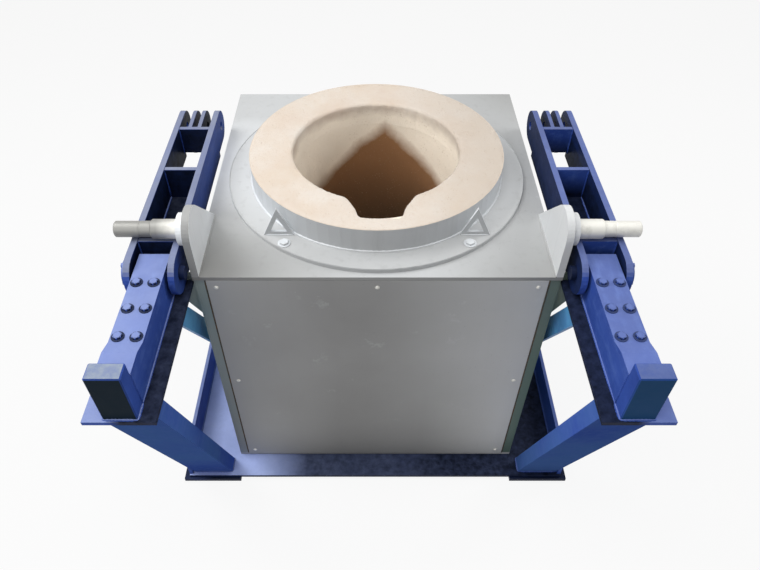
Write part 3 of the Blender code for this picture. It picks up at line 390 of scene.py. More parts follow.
def shade_in_arm_cells(finish):
    """Painted shade in the cells of the arms below their top edges, only deep in the right one,
    and on faces that look sideways.
    """
    width = finish.axis("X").away_from(0.0)
    left = finish.leftward()
    between_plates = width.between(CELL_INNER_X - 0.0015, CELL_INNER_X)
    between_plates = between_plates * width.between(CELL_OUTER_X + 0.0015, CELL_OUTER_X)
    height = finish.axis("Z")
    whole = height.between(ARM_TOP - 0.0030, ARM_TOP - 0.0045) * left
    deep = height.between(ARM_TOP - 0.030, ARM_TOP - 0.095) * (1 - left)
    cell = between_plates * (whole + deep)
    # Painted shade on faces that look sideways, most on those that look to the left
    sides = finish.facing("X", -0.8, -0.98) * 0.90 + finish.facing("X", 0.8, 0.98) * 0.42
    return (cell + sides).clamped()


def shade_inside_beams(finish):
    """Painted shade on the shelf plates inside the beams; their outer strips are left lit."""
    return finish.axis("X").away_from(0.0).between(SHELF_LIT_X, SHELF_LIT_X - 0.030)


def shadow_of_box_on_base(finish):
    """Painted shadow of the box on the base in front of it, away from the base's lit left end and
    deepened at its right end, and painted shade on the front edge.
    """
    side = finish.axis("X")
    along = side.between(-0.46, -0.26) * 0.93
    right_end = side.between(0.10, 0.42) * 0.16
    return (along + right_end + finish.forward() * 0.90).clamped()


def shade_round_heads(finish):
    """Painted shade round the heads on the caps, a little more on the left; the tops of the heads
    are left pale like the caps.
    """
    top = finish.axis("Z").between(CAP_TOP + 0.0072, CAP_TOP + 0.0080)
    top = top * finish.facing("Z", 0.9, 0.97)
    return (1 - top) * (finish.leftward() * 0.25 + 0.70)


def shaded_strut_fronts(finish):
    """Painted shade on the struts' front faces."""
    return finish.facing("Y", -0.30, -0.70) * 0.25


def block_enamel():
    """The stop blocks: fronts darkened by painted shade, blue sides, and tops rubbed to grey with
    painted light, the left one most.
    """
    finish = Finish("block_enamel", specular=0.04)
    film = finish.noise(5.0, 4.0, 0.6)
    fine = finish.noise(42.0, 5.0, 0.7)
    colour = finish.mix(film.between(0.32, 0.68), BLUE_DEEP, BLUE)
    left = finish.leftward()
    # Painted shade on the fronts, darkest on the left block
    front = finish.mix(left, BLOCK_SHADE_TEAL, BLOCK_SHADE_DARK)
    colour = finish.mix(finish.forward() * (left * 0.12 + 0.86), colour, front)
    # Tops rubbed grey with painted light, most on the left block
    rubbed = finish.facing("Z", 0.80, 0.97) * (fine.between(0.25, 0.60) * 0.45 + 0.50)
    rubbed = rubbed * (left * 0.70 + 0.30)
    colour = finish.mix(rubbed, colour, BLOCK_RUBBED_AND_LIT)
    roughness = 0.38 + fine * 0.2 + rubbed * 0.12
    return finish.complete(colour, roughness, fine * 0.6 + film * 0.4, 0.0009, 0.5)


def grey_enamel(name, light, dark, warm_share, streaks, painted_light_and_shade=None):
    """Satin grey paint on plate and sheet, a little uneven, with rubbed and dusty places.

    The last argument takes the finish and gives pairs of a share and the colour that shows by
    that share: painted light and shade.
    """
    finish = Finish(name, specular=0.32)
    cloud = finish.noise(1.6, 4.0, 0.55)
    runs = finish.noise(5.0, 4.0, 0.6, stretch=(7.0, 7.0, 0.6))
    fine = finish.noise(55.0, 4.0, 0.7)
    colour = finish.mix(cloud.between(0.30, 0.70), dark, light)
    colour = finish.mix(runs.between(0.55, 0.80) * streaks * 0.5, colour, SHEET_GREY_WARM)
    rubbed = finish.noise(12.0, 6.0, 0.75).between(0.62, 0.80)
    colour = finish.mix(rubbed * 0.30, colour, COLLAR_PALE)
    # Painted light and shade
    for share, under in painted_light_and_shade(finish) if painted_light_and_shade else ():
        colour = finish.mix((share * (cloud * 0.5 + 0.75)).clamped(), colour, under)
    spots = finish.cells(60.0).between(0.12, 0.02) * finish.noise(18.0).between(0.55, 0.60)
    colour = finish.mix(spots * 0.6 + warm_share * runs * 0.3, colour, PRIMER)
    roughness = 0.38 + fine * 0.14 + rubbed * 0.12 + spots * 0.2
    relief = fine * 0.4 + finish.noise(320.0, 2.0) * 0.3 + runs * 0.5
    return finish.complete(colour, roughness, relief, 0.0007, 0.45)


def painted_light_on_top_plate(finish):
    """The top plate: painted shade on the front corners, lip and back right, and painted light
    half-way down the left.
    """
    side = finish.axis("X")
    back = finish.axis("Y")
    # Painted shade in the front corners
    corner = side.away_from(0.06).between(0.10, 0.52)
    corner = corner * back.between(BOX_FRONT + 0.36, BOX_FRONT + 0.04)
    corner = corner * (side.between(0.5, -0.5) * 0.25 + 0.70)
    # Painted shade at the back right
    shaded_back_right = side.between(0.15, 0.50) * back.between(BOX_BACK - 0.45, BOX_BACK)
    # Painted light half-way down the left
    pale = back.between(BOX_FRONT + 0.28, BOX_FRONT + 0.48) * side.between(-0.10, -0.42)
    pale = pale * back.between(BOX_BACK - 0.16, BOX_BACK - 0.40)
    return ((corner, PLATE_SHADE), (shaded_back_right * 0.60, PLATE_SHADE),
            (finish.forward() * 0.80, PLATE_SHADE), (pale * 0.95, COLLAR_PALE))


def painted_light_on_sheets(finish):
    """Painted light and shade on the sheets: palest towards their upright edges, more on the
    right, and darkest low in the middle.
    """
    side = finish.axis("X")
    edge = side.away_from(-0.08).between(0.05, 0.52)
    edge = edge * ((1 - finish.leftward()) * 0.35 + 0.35)
    low = finish.axis("Z").between(0.62, 0.20) * side.away_from(0.02).between(0.42, 0.15)
    return ((edge, PLATE_GREY), (low * 0.55, SHEET_SHADE))


def shaded_right_side(finish):
    """Painted shade on the corner post and side on the right: darker and greener."""
    return ((finish.axis("X").between(0.30, 0.45) * 0.70, POST_SHADE),)


def shaded_edge(finish):
    """The narrow edges of the ears are darker than their faces, most of all on the left."""
    faces = finish.facing("X", 0.90, 0.99) + finish.facing("X", -0.90, -0.99)
    return (((1 - faces) * (finish.leftward() * 0.65 + 0.15), PLATE_SHADE),)


def skimmed_rim_and_shaded_front(finish):
    """Refractory skimmed over the collar's upper rim, and painted shade on the collar's front."""
    rim = finish.axis("Z").between(RING_TOP - 0.006, RING_TOP - 0.002)
    front = finish.facing("Y", -0.55, -0.97)
    return ((front * 0.42, PLATE_SHADE), (finish.facing("Z", 0.80, 0.95) * rim, CREAM))


def shaded_flange_front(finish):
    """Painted shade on the flange towards its front."""
    return ((finish.axis("Y").between(RING_Y - 0.12, RING_Y - 0.40) * 0.30, PLATE_SHADE),)


def turned_steel():
    """Bare steel with tool rings round X and dull marks; the left shaft is darkened by painted
    shade.
    """
    finish = Finish("turned_steel", metallic=0.30)
    rings = finish.noise(1.0, 4.0, 0.7, stretch=(700.0, 3.0, 3.0))
    marks = finish.noise(22.0, 5.0, 0.7)
    colour = finish.mix(marks.between(0.52, 0.78) * 0.7, STEEL, STEEL_DARK)
    colour = finish.mix(rings.between(0.50, 0.75) * 0.25, colour, COLLAR_PALE)
    # Painted shade on the left shaft
    colour = finish.mix(finish.axis("X").between(-0.55, -0.60) * 0.95, colour, STEEL_SHADE)
    roughness = 0.30 + rings * 0.16 + marks * 0.16
    return finish.complete(colour, roughness, rings * 0.5 + marks * 0.2, 0.0005, 0.5)


def rammed_refractory():
    """Cream refractory, pitted and blotched; down the bore, painted light near the top, then
    brown that is partly scorched and partly painted shadow, darkest deep down.
    """
    finish = Finish("rammed_refractory")
    blotch = finish.noise(7.0, 5.0, 0.65)
    grain = finish.noise(95.0, 6.0, 0.75)
    pores = finish.cells(120.0).between(0.25, 0.05)
    pores = pores * finish.noise(30.0, 3.0).between(0.45, 0.62)
    colour = finish.mix(blotch.between(0.34, 0.66), CREAM, CREAM_WHITE)
    colour = finish.mix(finish.noise(3.2, 4.0).between(0.48, 0.70) * 0.7, colour, CREAM_PINK)
    colour = finish.mix(grain.between(0.56, 0.78) * 0.45, colour, TAN)
    depth = (RING_TOP - finish.axis("Z")) + (blotch - 0.5) * 0.07
    side = finish.axis("X")
    back = finish.axis("Y") - RING_Y
    radius = (side * side + back * back) ** 0.5
    # Painted shade: the ring darker towards the right
    colour = finish.mix(side.between(0.05, 0.34) * 0.65, colour, CREAM_SHADE)
    by_notch = side.away_from(NOTCH_OFFSET).between(0.165, 0.090) * back.between(-0.19, -0.27)
    colour = finish.mix(by_notch * grain.between(0.35, 0.60) * 0.70, colour, CREAM_WHITE)
    inside = radius.between(BORE_RADIUS + 0.020, BORE_RADIUS + 0.006)
    # The brown's edge, partly scorched and partly painted shadow, highest near the middle across
    brown_and_shadow = depth - side.away_from(BROWN_AND_SHADOW_MIDDLE_X) * BROWN_AND_SHADOW_SLOPE
    # Painted light on the upper bore wall
    colour = finish.mix(depth.between(0.010, 0.050) * inside * 0.85, colour, PAINTED_LIGHT_CREAM)
    colour = finish.mix(depth.between(0.060, 0.300) * inside * 0.15, colour, TAN)
    colour = finish.mix(brown_and_shadow.between(0.060, 0.125) * inside, colour, BROWN)
    colour = finish.mix(depth.between(0.240, 0.520) * inside, colour, SOOT)
    colour = finish.mix(pores * 0.55, colour, TAN)
    relief = grain * 0.8 + blotch * 0.5 - pores * 0.9
    return finish.complete(colour, 0.86 + grain * 0.12, relief, 0.0035, 0.75)


def plain_grain(name, light, dark, scale, roughness, metallic, depth):
    """A grained or drawn surface for the pieces that sit inside and behind the furnace."""
    finish = Finish(name, metallic=metallic)
    coarse = finish.noise(scale, 4.0, 0.6)
    fine = finish.noise(scale * 9.0, 4.0, 0.7)
    colour = finish.mix((coarse * 0.7 + fine * 0.3).between(0.35, 0.65), dark, light)
    uneven = fine * 0.25 + (roughness - 0.10)
    return finish.complete(colour, uneven, fine + coarse * 0.5, depth, 0.6)


FINISHES = {
    "blue": blue_enamel(),
    "blue_edge": blue_enamel("blue_enamel_edges", worn=0.55),
    "blue_oily": blue_enamel("blue_enamel_oily", oily=0.95, dust_and_sheen_share=0.25),
    "blue_bolt": blue_enamel("blue_enamel_bolts", painted_shade=shade_round_heads),
    "blue_strut": blue_enamel("blue_enamel_struts", dust_and_sheen_share=0.4, greenish=0.4,
                              painted_shade=shaded_strut_fronts, coats=(BLUE, BLUE_PALE), specular=0.0,
                              dust_and_sheen_from=0.93),
    "blue_rear_strut": blue_enamel("blue_enamel_rear_struts", coats=(BLUE_GREEN, BLUE_BRIGHT),
                                   dust_and_sheen_from=0.93),
    "blue_arm": blue_enamel("blue_enamel_arms", dust_and_sheen_share=0.78, painted_shade=shade_in_arm_cells, dust_and_sheen_colour=DUST_AND_SHEEN_GREY,
                            specular=0.03),
    "blue_shelf": blue_enamel("blue_enamel_shelves", dust_and_sheen_share=0.75, painted_shade=shade_inside_beams),
    "blue_base": blue_enamel("blue_enamel_base", dust_and_sheen_share=0.9, painted_shade=shadow_of_box_on_base, dust_and_sheen_colour=DUST_AND_SHEEN_BRIGHT),
    "block": block_enamel(),
    "sheet": grey_enamel("sheet_grey", SHEET_GREY, SHEET_GREY_WARM, 0.2, 0.3, painted_light_on_sheets),
    "plate": grey_enamel("plate_grey", PLATE_GREY, PLATE_GREY_DARK, 0.1, 0.6, shaded_flange_front),
    "top": grey_enamel("top_plate_grey", TOP_GREY, TOP_GREY_DARK, 0.1, 0.6, painted_light_on_top_plate),
    "post": grey_enamel("post_grey", POST_GREEN_GREY, SHEET_GREY_WARM, 0.2, 0.6, shaded_right_side),
    "ear": grey_enamel("ear_grey", COLLAR_PALE, PLATE_GREY, 0.0, 0.4, shaded_edge),
    "keeper": grey_enamel("keeper_grey", COLLAR_PALE, PLATE_GREY, 0.0, 0.4),
    "collar": grey_enamel("collar_grey", COLLAR_BLUE_GREY, PLATE_GREY, 0.2, 0.5, skimmed_rim_and_shaded_front),
    "steel": turned_steel(),
    "refractory": rammed_refractory(),
    "castable": plain_grain("castable_slab", STONE, STEEL_DARK, 14.0, 0.9, 0.0, 0.003),
    "copper": plain_grain("drawn_copper", COPPER, COPPER_DARK, 10.0, 0.35, 0.9, 0.0005),
    "board": plain_grain("laminated_board", BOARD, BROWN, 16.0, 0.55, 0.0, 0.0006),
    "gasket": plain_grain("gasket_rubber", GASKET, SOOT, 40.0, 0.8, 0.0, 0.0006),
}

# The finish of each slot, and the nodes, named without their side, that differ from it
SLOT_FINISHES = {
    "blue_paint": "blue",
    "grey_paint": "sheet",
    "bright_steel": "steel",
    "refractory": "refractory",
    "castable": "castable",
    "copper": "copper",
    "insulating_board": "board",
}
NODES_BY_FINISH = {
    "top": ("top_plate",),
    "plate": ("ring_flange",),
    "collar": ("ring_collar", "lifting_lug"),
    "ear": ("ear_plate",),
    "keeper": ("shaft_keeper",),
    "post": ("shell_frame", "left_panel", "right_panel"),
    "block": ("stop_block",),
    "blue_base": ("base_front_plate",),
    "blue_shelf": ("shelf_plate",),
    "blue_strut": ("front_strut",),
    "blue_rear_strut": ("rear_strut",),
    "blue_oily": ("foot_plate_front", "foot_plate_rear", "pivot_pin"),
    "blue_arm": ("arm_inner_plate", "arm_outer_plate", "arm_front_tie", "arm_middle_tie",
                 "arm_floor_plate", "rear_clevis"),
}
NODE_FINISHES = {node: finish for finish, nodes in NODES_BY_FINISH.items() for node in nodes}
SHARP_NODES = {"induction_coil", "coil_cage", "crucible_lining", "refractory_ring"}


def scene_object(name, data):
    """An object that shows its data in the scene."""
    made = bpy.data.objects.new(name, data)
    bpy.context.scene.collection.objects.link(made)
    return made


def mesh_object(name, shape, material):
    """An object in one material, made from a bmesh, which is used up."""
    mesh = bpy.data.meshes.new(name)
    shape.to_mesh(mesh)
    shape.free()
    mesh.materials.append(material)
    return scene_object(name, mesh)


def smooth_faces(mesh):
    """Smooth shading that keeps the hard edges."""
    mesh.shade_smooth()
    mesh.set_sharp_from_angle(angle=SMOOTH_BELOW)


def piece(name, shape, body, finish, stands_for=(), smooth=True):
    """A mesh object that rides on a body, made from a bmesh in the frame's place."""
    shape.normal_update()
    bmesh.ops.recalc_face_normals(shape, faces=shape.faces)
    made = mesh_object(name, shape, FINISHES[finish])
    if smooth:
        smooth_faces(made.data)
    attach(made, body)
    if stands_for:
        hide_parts(*stands_for)
    return made


def round_edges(made, width, edge_finish=None):
    """A bevel on the corners of a piece, in the worn finish where one is given."""
    bevel = made.modifiers.new("rounded_edges", "BEVEL")
    bevel.width = width
    bevel.segments = 2
    bevel.limit_method = "ANGLE"
    bevel.angle_limit = BEVEL_ABOVE
    if edge_finish:
        made.data.materials.append(FINISHES[edge_finish])
        bevel.material = 1


def swept_rings(shape, rings, closed_path=False):
    """Faces between rings of vertices, with a cap on each end of an open path."""
    count = len(rings[0])
    pairs = list(zip(rings, rings[1:]))
    if closed_path:
        pairs.append((rings[-1], rings[0]))
    for ring, following in pairs:
        for index in range(count):
            ahead = (index + 1) % count
            shape.faces.new((ring[index], ring[ahead], following[ahead], following[index]))
    if not closed_path:
        shape.faces.new(rings[0])
        shape.faces.new(rings[-1])


def merged(shape):
    """The shape with coinciding points joined."""
    bmesh.ops.remove_doubles(shape, verts=shape.verts, dist=TINY / 4)
    return shape


def turned_about_ring(profile_at, angles):
    """A solid about the ring's axis; profile_at gives its closed (radius, z) loop at an angle."""
    shape = bmesh.new()
    rings = []
    for angle in angles:
        across = Vector((math.cos(angle), math.sin(angle), 0))
        ring = []
        for radius, z in profile_at(angle):
            ring.append(shape.verts.new(Vector((RING_X, RING_Y, z)) + across * radius))
        rings.append(ring)
    swept_rings(shape, rings, closed_path=True)
    return merged(shape)


def turned(shape, outline, count, centre, axis, sign=1, turn=0.0):
    """A solid turned about an axis from (level, radius) points, added to a shape."""
    along = "XYZ".index(axis)
    across, up = (index for index in range(3) if index != along)
    rings = []
    for level, radius in outline:
        ring = []
        for step in range(count):
            angle = turn + math.tau * step / count
            place = list(centre)
            place[along] += sign * level
            place[across] += radius * math.cos(angle)
            place[up] += radius * math.sin(angle)
            ring.append(shape.verts.new(place))
        rings.append(ring)
    swept_rings(shape, rings)


def turned_about_x(outline, count, centre, sign):
    """A shaft or disc turned about X, whose outline starts and ends on its axis."""
    shape = bmesh.new()
    turned(shape, outline, count, centre, "X", sign)
    return merged(shape)


def weld_bead(shape, start, end, kind):
    """A rippled fillet weld along a straight seam, added to a shape."""
    radius = BEADS[kind]
    start, end = Vector(start), Vector(end)
    along = end - start
    to_seam = along.to_track_quat("Z", "Y").to_matrix()
    steps = max(int(along.length / (radius * 0.75)), 4)
    rings = []
    for step in range(steps + 1):
        share = step / steps
        taper = min(1.0, 0.45 + 4 * min(share, 1 - share))
        here = start + along * share
        swell = 1 + RIPPLE * math.sin(step * RIPPLE_TURN) + 0.14 * noise.noise(here * 60)
        size = radius * taper * swell
        round_seam = [Vector((first * size, second * size, 0)) for first, second in BEAD_ROUND]
        rings.append([shape.verts.new(here + to_seam @ out) for out in round_seam])
    swept_rings(shape, rings)


def round_bead(shape, centre, radius, bead, axis, steps):
    """A rippled weld round a circular seam about Z or X, added to a shape."""
    rings = []
    for step in range(steps):
        angle = math.tau * step / steps
        ripple = RIPPLE * math.sin(step * RIPPLE_TURN) + 0.10 * math.sin(step * 0.37)
        swell = bead * (1 + ripple)
        ring = []
        for aside, above in BEAD_ROUND:
            out = radius + aside * swell
            up = above * swell
            first, second = math.cos(angle) * out, math.sin(angle) * out
            offset = (first, second, up) if axis == "Z" else (up, first, second)
            ring.append(shape.verts.new(Vector(centre) + Vector(offset)))
        rings.append(ring)
    swept_rings(shape, rings, closed_path=True)


def hexagon_bolt(shape, centre, size, axis="Z", sign=1, turn=0.3):
    """A chamfered hexagon head on a washer, standing on the given point."""
    width, height, washer = size
    thin = washer * 0.14
    corner = width / math.sqrt(3)
    disc = ((0.0, washer), (thin * 0.8, washer), (thin, washer * 0.96))
    head = ((thin * 0.5, corner), (height * 0.82, corner), (height * 0.93, corner * 0.97),
            (height, corner * 0.84))
    turned(shape, disc, 24, centre, axis, sign, turn)
    turned(shape, head, 6, centre, axis, sign, turn)


def dress_nodes():
    """Finish and rounded corners for every node of the frame."""
    for row in frame["record"]["subparts"]:
        name = row["node"]
        node = frame["nodes"][name]
        kind = name.removesuffix("_left").removesuffix("_right")
        finish = NODE_FINISHES.get(kind, SLOT_FINISHES[row["material_slot"]])
        node.data.materials.clear()
        node.data.materials.append(FINISHES[finish])
        if name not in SHARP_NODES:
            edge = "blue_edge" if finish in ("blue", "blue_strut") else None
            low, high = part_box(name)
            round_edges(node, min(EDGE_WIDTH, min(high - low) * EDGE_SHARE), edge)
        smooth_faces(node.data)


def straight_reach(angle):
    """How far the notch's outline lies from the ring's centre at an angle."""
    across, ahead = math.cos(angle), math.sin(angle)
    reach = BORE_RADIUS
    for (x0, y0), (x1, y1) in zip(NOTCH_OUTLINE, NOTCH_OUTLINE[1:]):
        run_x, run_y = x1 - x0, y1 - y0
        slant = across * run_y - ahead * run_x
        if abs(slant) < TINY * TINY:
            continue
        distance = (x0 * run_y - y0 * run_x) / slant
        share = (x0 * ahead - y0 * across) / slant
        if distance > 0 and 0 <= share <= 1:
            reach = max(reach, distance)
    return reach


def notch_reach(angle):
    """The reach with the notch's corners rounded."""
    steps = (-2, -1, 0, 1, 2)
    reaches = [straight_reach(angle + NOTCH_ROUNDING * step / 2) for step in steps]
    return sum(reaches) / len(steps)


def ring_angles(plain, fine):
    """Angles round the ring, close together in front, where the notch is."""
    front = -math.pi / 2
    rest = math.tau - 2 * NOTCH_REACH
    around = [front + NOTCH_REACH + rest * step / plain for step in range(plain)]
    notch = [front - NOTCH_REACH + 2 * NOTCH_REACH * step / fine for step in range(fine)]
    return around + notch


def rough(angle, height, size, scale):
    """A repeatable unevenness in metres, round a ring at an angle and height."""
    at = Vector((math.cos(angle), math.sin(angle), height * 4)) * scale
    coarse = noise.noise(at)
    fine = noise.noise(at * 4.3)
    return size * (coarse * 0.7 + fine * 0.45)


def build_refractory_ring():
    """The rammed ring: skimmed over the collar's rim, chipped inner edge, ragged notch."""
    foot = REFRACTORY_LOW.z
    below_rim = RING_TOP - TINY
    skim = RING_TOP + SKIM
    notch_floor = RING_TOP - NOTCH_DEPTH
    outer_flat = RING_RADIUS - 0.008
    top_steps = 12
    edge_radius = 0.007

    def loop(angle):
        inner = notch_reach(angle)
        ragged = 0.004 if inner > BORE_RADIUS + TINY else 0.0022
        inner = max(inner - abs(rough(angle, 0.1, ragged * 1.6, 14.0)), BORE_RADIUS - 0.003)
        in_notch = (inner - BORE_RADIUS) / (NOTCH_FRONT - BORE_RADIUS)
        # Outer wall, and the thin edge of the skim over the collar's rim
        edge = COLLAR_RADIUS - 0.0022 - abs(rough(angle, 0.9, 0.0016, 20.0))
        points = [(RING_RADIUS, foot), (RING_RADIUS, below_rim), (edge, below_rim)]
        points += [(edge, skim - TINY), (edge - 0.0015, skim)]
        # Top, which sinks a little towards the bore, and its chipped inner edge
        inner_flat = inner + edge_radius
        for step in range(top_steps + 1):
            share = step / top_steps
            radius = outer_flat + (inner_flat - outer_flat) * share
            worn = abs(rough(angle, radius, 0.0022, 7.0)) * min(1, share * 4)
            points.append((radius, skim - (worn + 0.0012 * share**4)))
        for turn in (25, 50, 75):
            bend = math.radians(turn)
            chip = abs(rough(angle, turn / 90, 0.0016, 26.0))
            radius = inner + edge_radius * (1 - math.sin(bend)) + chip
            height = RING_TOP - 0.002 - edge_radius * (1 - math.cos(bend)) - chip
            points.append((radius, height))
        # Wall of the notch, or else of the bore, and the notch's sloping floor
        for share in (0.2, 0.4, 0.6, 0.8, 1.0):
            height = RING_TOP - 0.010 - (NOTCH_DEPTH - 0.016) * share
            wall = inner + 0.001 + rough(angle, height, 0.0014, 16.0)
            points.append((max(wall, BORE_RADIUS), height))
        slope_start = max(inner - 0.006 * in_notch, BORE_RADIUS + TINY)
        points.append((slope_start, notch_floor))
        points.append(((slope_start + BORE_RADIUS) / 2, notch_floor - 0.003))
        points.append((BORE_RADIUS, notch_floor - 0.006))
        points.append((BORE_RADIUS, foot))
        return points

    shape = turned_about_ring(loop, ring_angles(240, 110))
    piece("rammed_ring", shape, "furnace", "refractory",
          stands_for=("refractory_ring",))


def build_lining():
    """The crucible's inside, gently uneven down to its rounded floor."""
    floor = LINING_LOW.z + LINING_FLOOR
    top = LINING_HIGH.z
    bend_steps = 6
    wall_steps = 26

    def loop(angle):
        points = [(BORE_RADIUS * share, floor) for share in (0.0, 0.3, 0.6)]
        for step in range(bend_steps + 1):
            bend = math.radians(90 * step / bend_steps)
            radius = BORE_RADIUS - FLOOR_FILLET + FLOOR_FILLET * math.sin(bend)
            points.append((radius, floor + FLOOR_FILLET * (1 - math.cos(bend))))
        for step in range(1, wall_steps + 1):
            rise = (top - floor - FLOOR_FILLET) * step / wall_steps
            height = floor + FLOOR_FILLET + rise
            wear = abs(rough(angle, height, 0.004, 5.0)) if step < wall_steps else 0.0
            points.append((BORE_RADIUS + wear, height))
        points += [(LINING_RADIUS, top), (LINING_RADIUS, LINING_LOW.z), (0.0, LINING_LOW.z)]
        return points

    shape = turned_about_ring(loop, ring_angles(130, 30))
    piece("worn_lining", shape, "furnace", "refractory",
          stands_for=("crucible_lining",))


def build_collar_details():
    """The welds that hold collar and lugs on the flange, and the flange's rounded edge."""
    shape = bmesh.new()
    round_bead(shape, (RING_X, RING_Y, COLLAR_LOW.z), COLLAR_RADIUS, BEADS["foot"], "Z", 420)
    for side in SIDES:
        low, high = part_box(f"lifting_lug_{side}")
        for y in (low.y, high.y):
            start = (low.x + BEAD_INSET, y, low.z)
            weld_bead(shape, start, (high.x - BEAD_INSET, y, low.z), "lug")
    piece("collar_welds", shape, "furnace", "collar")
    rim = bmesh.new()
    centre = (RING_X, RING_Y, FLANGE_TOP + 0.0008)
    round_bead(rim, centre, FLANGE_RADIUS - 0.0025, 0.0012, "Z", 200)
    piece("flange_edge_bead", rim, "furnace", "plate")


def build_bolts():
    """Washers and chamfered heads over the plain bolt heads of the caps and the flange."""
    for side in SIDES:
        low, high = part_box(f"beam_cap_{side}")
        middle = (low.x + high.x) / 2
        heads = bmesh.new()
        for row in range(3):
            for column in (-1, 1):
                x = middle + column * CAP_BOLT_SIDE
                y = BOX_FRONT - CAP_BOLT_PITCH - row * CAP_BOLT_PITCH
                hexagon_bolt(heads, (x, y, CAP_TOP), CAP_BOLT, turn=0.2 + row + column)
        piece(f"cap_bolts_{side}", heads, "stand", "blue_bolt", smooth=False)
    shape = bmesh.new()
    radius = FLANGE_RADIUS - FLANGE_BOLT_INSET
    for x_sign in (-1, 1):
        for y_sign in (-1, 1):
            x = RING_X + x_sign * radius * math.cos(FLANGE_BOLT_ANGLE)
            y = RING_Y + y_sign * radius * math.sin(FLANGE_BOLT_ANGLE)
            hexagon_bolt(shape, (x, y, FLANGE_TOP), FLANGE_BOLT, turn=0.5 * x_sign)
    piece("flange_bolts", shape, "furnace", "collar", smooth=False)


def round_root(name, sign):
    """For a round node along X: the middle of its inner end, its radius and its length."""
    low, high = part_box(name)
    root = low.x if sign > 0 else high.x
    centre = (root, (low.y + high.y) / 2, (low.z + high.z) / 2)
    return centre, (high.y - low.y) / 2, high.x - low.x


def build_shafts():
    """The stepped trunnion shafts, with turned grooves, chamfers and a centre hole in the end."""
    for side, sign in SIDES.items():
        centre, big, length = round_root(f"trunnion_shaft_{side}", sign)
        small = SHAFT_END_RADIUS
        step = SHAFT_SHOULDER - TINY
        outline = [
            # The thick part and its shoulder
            (0.0, 0.0), (0.0, big - 0.002), (0.002, big), (step - 0.0025, big),
            (step, big - 0.0025), (step, small + 0.002), (step + 0.002, small),
            # A groove round the thin part
            (step + 0.028, small), (step + 0.029, small - 0.0008),
            (step + 0.032, small - 0.0008), (step + 0.033, small),
            # The end, with the centre hole in it
            (length - 0.003, small), (length, small - 0.003), (length, 0.0065),
            (length - 0.003, 0.0040), (length - 0.010, 0.0036), (length - 0.012, 0.0),
        ]
        shape = turned_about_x(outline, 64, centre, sign)
        piece(f"turned_shaft_{side}", shape, "furnace", "steel",
              stands_for=(f"trunnion_shaft_{side}",))
        weld = bmesh.new()
        low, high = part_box(f"shaft_keeper_{side}")
        x, y, z = centre
        round_bead(weld, (x + sign * 0.003, y, z), (high.z - low.z) / 2, BEADS["beam"], "X", 130)
        piece(f"shaft_weld_{side}", weld, "furnace", "keeper")


def build_pin_covers():
    """The round covers on the arms: stepped rim, centre boss and three bolts with washers."""
    thick = COVER_THICK
    for side, sign in SIDES.items():
        centre, radius, _ = round_root(f"pin_cover_{side}", sign)
        outline = [
            (0.0, 0.0), (0.0, radius - 0.001), (0.001, radius), (thick - 0.002, radius),
            (thick, radius - 0.002), (thick, radius * 0.90), (thick - 0.0012, radius * 0.87),
            (thick - 0.0012, radius * 0.34), (thick + 0.002, radius * 0.30),
            (thick + 0.002, radius * 0.10), (thick, 0.0),
        ]
        shape = turned_about_x(outline, 56, centre, sign)
        for index in range(3):
            angle = math.pi / 2 + math.tau * index / 3
            x = centre[0] + sign * (thick - 0.002)
            y = centre[1] + COVER_BOLT_CIRCLE * math.cos(angle)
            z = centre[2] + COVER_BOLT_CIRCLE * math.sin(angle)
            hexagon_bolt(shape, (x, y, z), COVER_BOLT, "X", sign)
        piece(f"bolted_cover_{side}", shape, "furnace", "blue_edge",
              stands_for=(f"pin_cover_{side}",))


def build_panels():
    """Front and back sheets: hardly bowed, rounded at their edges, held by domed screws."""
    columns, rows = 44, 42
    for end, sign in (("front", -1), ("back", 1)):
        low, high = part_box(f"{end}_panel")
        face = BOX_FRONT if end == "front" else BOX_BACK
        shape = bmesh.new()
        grid = []
        for row in range(rows + 1):
            line = []
            for column in range(columns + 1):
                x = low.x + (high.x - low.x) * column / columns
                z = low.z + (high.z - low.z) * row / rows
                across = min(column, columns - column) / columns * 2
                up = min(row, rows - row) / rows * 2
                bow = SHEET_BOW * math.sin(min(across * 2, 1) * math.pi / 2)
                bow *= math.sin(min(up * 2, 1) * math.pi / 2)
                bow *= 0.7 + 0.5 * noise.noise(Vector((x * 2.2, sign, z * 2.2)))
                line.append(shape.verts.new((x, face - sign * bow, z)))
            grid.append(line)
        for lower, upper in zip(grid, grid[1:]):
            for left, right in zip(range(columns), range(1, columns + 1)):
                shape.faces.new((lower[left], lower[right], upper[right], upper[left]))
        rim = [edge for edge in shape.edges if edge.is_boundary]
        for item in bmesh.ops.extrude_edge_only(shape, edges=rim)["geom"]:
            if isinstance(item, bmesh.types.BMVert):
                item.co.y = face - sign * SHEET_THICK
        rim = [edge for edge in shape.edges if edge.is_boundary]
        bmesh.ops.contextual_create(shape, geom=rim)
        sheet = piece(f"{end}_sheet", shape, "furnace", "sheet",
                      stands_for=(f"{end}_panel",))
        round_edges(sheet, 0.0012)
        build_screws(end, sign, face)


def build_screws(end, sign, face):
    """Domed screws down both edges of a sheet and one at its top middle."""
    low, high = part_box(f"{end}_panel")
    edge = high.x - SCREW_INSET
    top = high.z - SCREW_RISE
    heights = (low.z + SCREW_RISE, (low.z + high.z) / 2, top)
    shape = bmesh.new()
    for x, z in [(x, z) for x in (-edge, edge) for z in heights] + [(0.0, top)]:
        turned(shape, SCREW_OUTLINE, 20, (x, face, z), "Y", sign)
    piece(f"{end}_screws", shape, "furnace", "steel")


